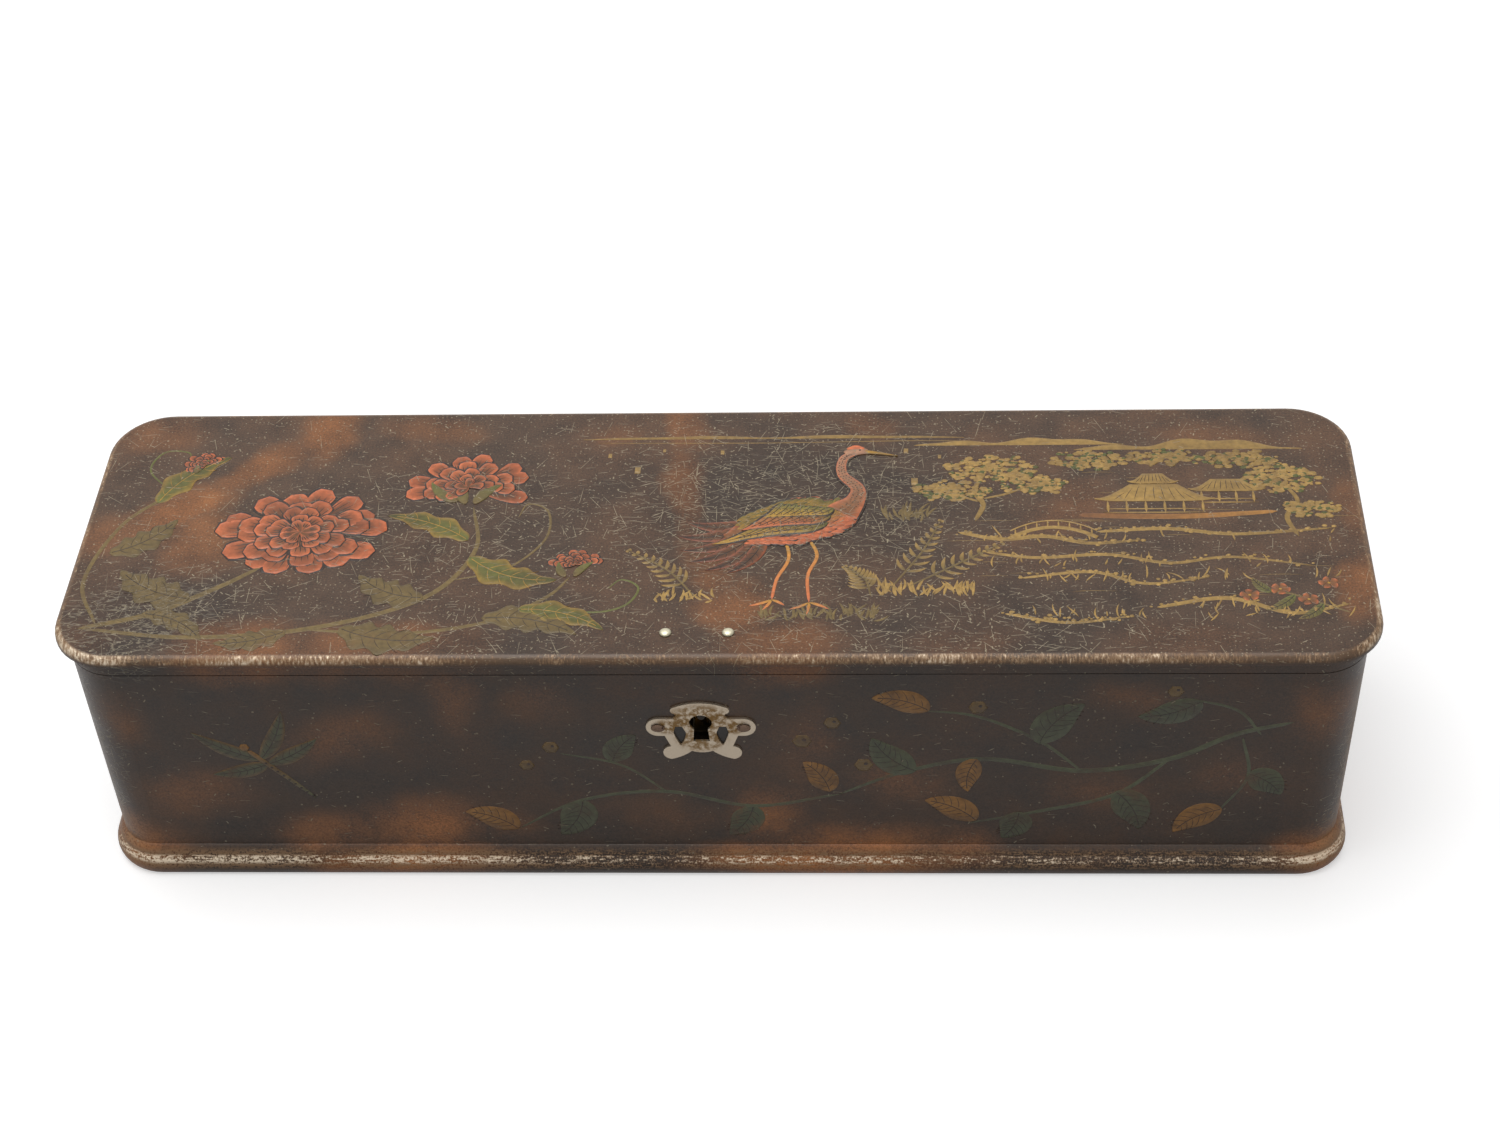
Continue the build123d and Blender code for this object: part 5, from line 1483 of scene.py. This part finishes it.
    def shore(self, random, layer, gold, ink):
        """Rocky shore lines, reeds, ripples, a few squares of gold leaf and small blossoms."""
        shapes = []
        for knots, width in [
            ([(56, -2), (66, -4.5), (76, -3.5), (86, -6), (98, -5)], 1.5),
            ([(62, -9), (74, -11), (90, -10), (104, -13), (118, -11), (136, -14)], 1.2),
            ([(88, -2), (104, -1), (120, -3), (142, -1)], 1.4),
            ([(70, -18), (86, -16), (98, -20), (112, -18)], 1.1),
            ([(100, -28), (116, -25), (130, -30), (143, -27)], 1.5),
            ([(66, -30), (80, -33), (94, -31)], 1.0),
        ]:
            shapes.append(brush_line(knots, width, 0.03, layer, gold, gold * 0.7, count=50, swell=0.3))
            rocks = smooth_path(knots, 46) + (random.normal(0, 0.7, (46, 2)) * (1.0, 0.7) + (0, 0.5))
            size = random.uniform(0.35, 0.8, 46)
            shapes.append(dabs(rocks, size, 0.05, layer, varied(gold, 46, 0.2, random)))
        count = 90
        base = stacked(random.uniform(60, 143, count), random.choice([-5.0, -13, -19, -28, -31], count))
        base += random.normal(0, 0.8, (count, 2))
        lean = random.normal(0.1, 0.4, count)
        tip = base + stacked(np.sin(lean), np.cos(lean)) * random.uniform(1.8, 5.0, (count, 1))
        bow = random.uniform(-0.15, 0.15, count)
        shade = varied(gold, count, 0.2, random)
        shapes.append(brush_marks(base, tip, bow, 0.5, 0.04, layer, shade, count=6))
        ripples = stacked(random.uniform(50, 140, 26), random.uniform(-26, 20, 26))
        ends = ripples + stacked(random.uniform(4, 12, 26), 0)
        shapes.append(brush_marks(ripples, ends, 0.02, 0.22, 0.02, layer * 0.4, gold * 0.55, count=8))
        flecks = np.array([(-20, 20), (-27, 26), (44, 27), (52, 25), (46, 15), (-14, 28), (0, 27)], float)
        size = np.array([1.4, 0.9, 1.1, 0.8, 1.6, 0.7, 0.9])
        path = flecks[:, None] + stacked(0, size * 1.7)[:, None] * np.linspace(0, 1, 3)[:, None]
        half = (size / 2)[:, None]
        shapes.append(carried(path, half, half, LEAF, 0.02, layer * 0.5, gold * 0.85, gold * 0.85))
        for centre in [(128, -22), (134, -25.5), (121, -24), (139, -20)]:
            angles = np.arange(5) * 2 * np.pi / 5 + centre[0]
            colours = ink.petal, ink.coral, ink.petal
            shapes.append(petals(centre, 0.3, 2.3, angles, 0.8, 2.2, 0.06, layer, *colours))
            shapes.append(dabs([centre], 0.5, 0.12, layer, ink.yellow))
        sprig = [(143, -30), (137, -27), (128, -23), (118, -24)]
        shapes.append(brush_line(sprig, 0.7, 0.03, layer, ink.olive, count=24))
        base, tip = [(137, -27), (131, -24), (126, -23)], [(131, -32), (124, -29), (122, -18)]
        shapes.append(leaves(base, tip, 0.1, 2.6, 0, 0.05, layer, ink.green, ink.olive, None, ink.outline))
        return shapes


class GLOVEBOX_OT_front_sprig(bpy.types.Operator):
    """Paints the faint sprig and the dragonfly on the front wall"""

    bl_idname = "glove_box.front_sprig"
    bl_label = "Front sprig"

    def execute(self, context):
        settings, ink = paints()
        material = coloured_lacquer("thin oil colour on lacquer", min(settings.rubbing + 0.35, 1))
        layer = settings.relief * 0.6
        green, orange = ink.faint_green, ink.faint_orange
        lines = [
            ([(131, 50), (118, 46), (104, 38), (84, 34), (62, 38), (44, 34), (28, 26)], 1.5),
            ([(104, 38), (92, 26), (74, 20), (58, 16)], 1.1),
            ([(84, 34), (74, 44), (60, 52), (48, 54)], 0.9),
            ([(124, 46), (118, 54), (106, 58)], 0.8),
            ([(28, 26), (8, 22), (-12, 27), (-32, 24), (-48, 14)], 1.1),
            ([(-12, 27), (-22, 36), (-36, 40)], 0.7),
            ([(120, 45), (122, 32), (116, 20)], 0.8),
        ]
        light, dark = green * 0.95, green * 0.75
        stems = [brush_line(knots, width * 1.2, 0.02, layer, light, dark) for knots, width in lines]
        dim = leaves(
            [(92, 27), (70, 20), (74, 43), (46, 34), (8, 22), (-32, 24), (122, 33), (110, 57), (-24, 37)],
            [(98, 14), (66, 11), (84, 56), (36, 45), (2, 12), (-38, 12), (130, 26), (96, 52), (-18, 46)],
            0.1, [9, 8, 9, 8.5, 8, 9, 8, 7.5, 7], 0, 0.04, layer,
            green * 0.75, green * 0.55, green * 0.9, ink.outline,
        )
        turning = leaves(
            [(60, 17), (49, 54), (26, 27), (-48, 14), (117, 21), (60, 38)],
            [(48, 24), (36, 58), (20, 37), (-60, 20), (106, 13), (58, 27)],
            -0.1, [7.5, 7, 7, 7.5, 7.5, 6], 0, 0.05, layer, orange * 0.75, orange, orange * 0.7, ink.outline,
        )
        places = np.array([(20, 44), (27, 50), (34, 36), (-38, 42), (-44, 36), (104, 60), (60, 55)], float)
        size = np.array([2.7, 2.3, 2.6, 2.3, 2.1, 2.2, 2.5])
        berries = [
            dabs(places, size, 0.04, layer, orange * 0.35 + green * 0.35, 1.0),
            dabs(places + 0.5, size * 0.3, 0.07, layer, ink.outline * 1.5, 1.0),
        ]
        for name, shapes in (
            ("front_stems", stems), ("front_leaves", [dim, turning]), ("front_berries", berries),
            ("front_dragonfly", self.dragonfly(layer, green, orange, ink)),
        ):
            painted_piece(name, shapes, material, on_front, "body")
        return {"FINISHED"}

    def dragonfly(self, layer, green, orange, ink):
        """A dragonfly: four narrow wings with veins about a jointed body."""
        centre = np.array([-106.0, 38.0])
        wings = leaves(
            centre + np.array([(0, 0), (0, 0), (1.5, -1.5), (1.5, -1.5)]),
            centre + np.array([(-15, 9), (7, 16), (-12, -5), (14, 7)]),
            [0.06, -0.06, 0.06, -0.06], [4.4, 4.4, 4.6, 4.6], 0, 0.05, layer,
            green * 0.8, green * 0.6, orange * 0.5, ink.outline * 1.3,
        )
        knots = [centre + (-2.5, 3), centre, centre + (6, -7), centre + (11, -13)]
        body = brush_line(knots, 1.5, 0.1, layer, orange * 0.8, green, count=24)
        rings = centre + stacked(np.linspace(1, 10.5, 9), -np.linspace(1.2, 12.4, 9))
        marks = dabs(rings, 0.5, 0.16, layer, ink.outline)
        head = dabs([centre + (-3.3, 4.0)], 1.4, 0.12, layer, orange * 0.7, 1.0)
        return [wings, body, marks, head]


class GLOVEBOX_PT_making(bpy.types.Panel):
    """Lists the steps that dress the glove box"""

    bl_idname = "GLOVEBOX_PT_making"
    bl_label = "Glove box"
    bl_space_type = "VIEW_3D"
    bl_region_type = "UI"
    bl_category = "Glove box"

    def draw(self, context):
        for step in STEPS:
            self.layout.operator(step.bl_idname)
        for group in GROUPS:
            settings = getattr(context.scene, group)
            for name in settings.__annotations__:
                self.layout.prop(settings, name)


GROUPS = {
    "glove_box_stage": GloveBoxStage,
    "glove_box_lacquer": GloveBoxLacquer,
    "glove_box_painting": GloveBoxPainting,
    "glove_box_metalwork": GloveBoxMetalwork,
    "glove_box_lining": GloveBoxLining,
}
STEPS = (
    GLOVEBOX_OT_stage,
    GLOVEBOX_OT_lacquer,
    GLOVEBOX_OT_metalwork,
    GLOVEBOX_OT_rivets,
    GLOVEBOX_OT_lining,
    GLOVEBOX_OT_lid_pad,
    GLOVEBOX_OT_lid_flowers,
    GLOVEBOX_OT_lid_crane,
    GLOVEBOX_OT_lid_landscape,
    GLOVEBOX_OT_front_sprig,
)


def register():
    """Registers the settings, the steps and the panel."""
    for name, group in GROUPS.items():
        bpy.utils.register_class(group)
        setattr(bpy.types.Scene, name, PointerProperty(type=group))
    for step in STEPS:
        bpy.utils.register_class(step)
    bpy.utils.register_class(GLOVEBOX_PT_making)


def unregister():
    """Takes back what register adds."""
    bpy.utils.unregister_class(GLOVEBOX_PT_making)
    for step in reversed(STEPS):
        bpy.utils.unregister_class(step)
    for name, group in GROUPS.items():
        delattr(bpy.types.Scene, name)
        bpy.utils.unregister_class(group)


def main():
    """Runs every step in order."""
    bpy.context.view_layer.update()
    register()
    bpy.ops.glove_box.stage()
    bpy.ops.glove_box.lacquer()
    bpy.ops.glove_box.metalwork()
    bpy.ops.glove_box.rivets()
    bpy.ops.glove_box.lining()
    bpy.ops.glove_box.lid_pad()
    bpy.ops.glove_box.lid_flowers()
    bpy.ops.glove_box.lid_crane()
    bpy.ops.glove_box.lid_landscape()
    bpy.ops.glove_box.front_sprig()


if __name__ == "__main__":
    main()
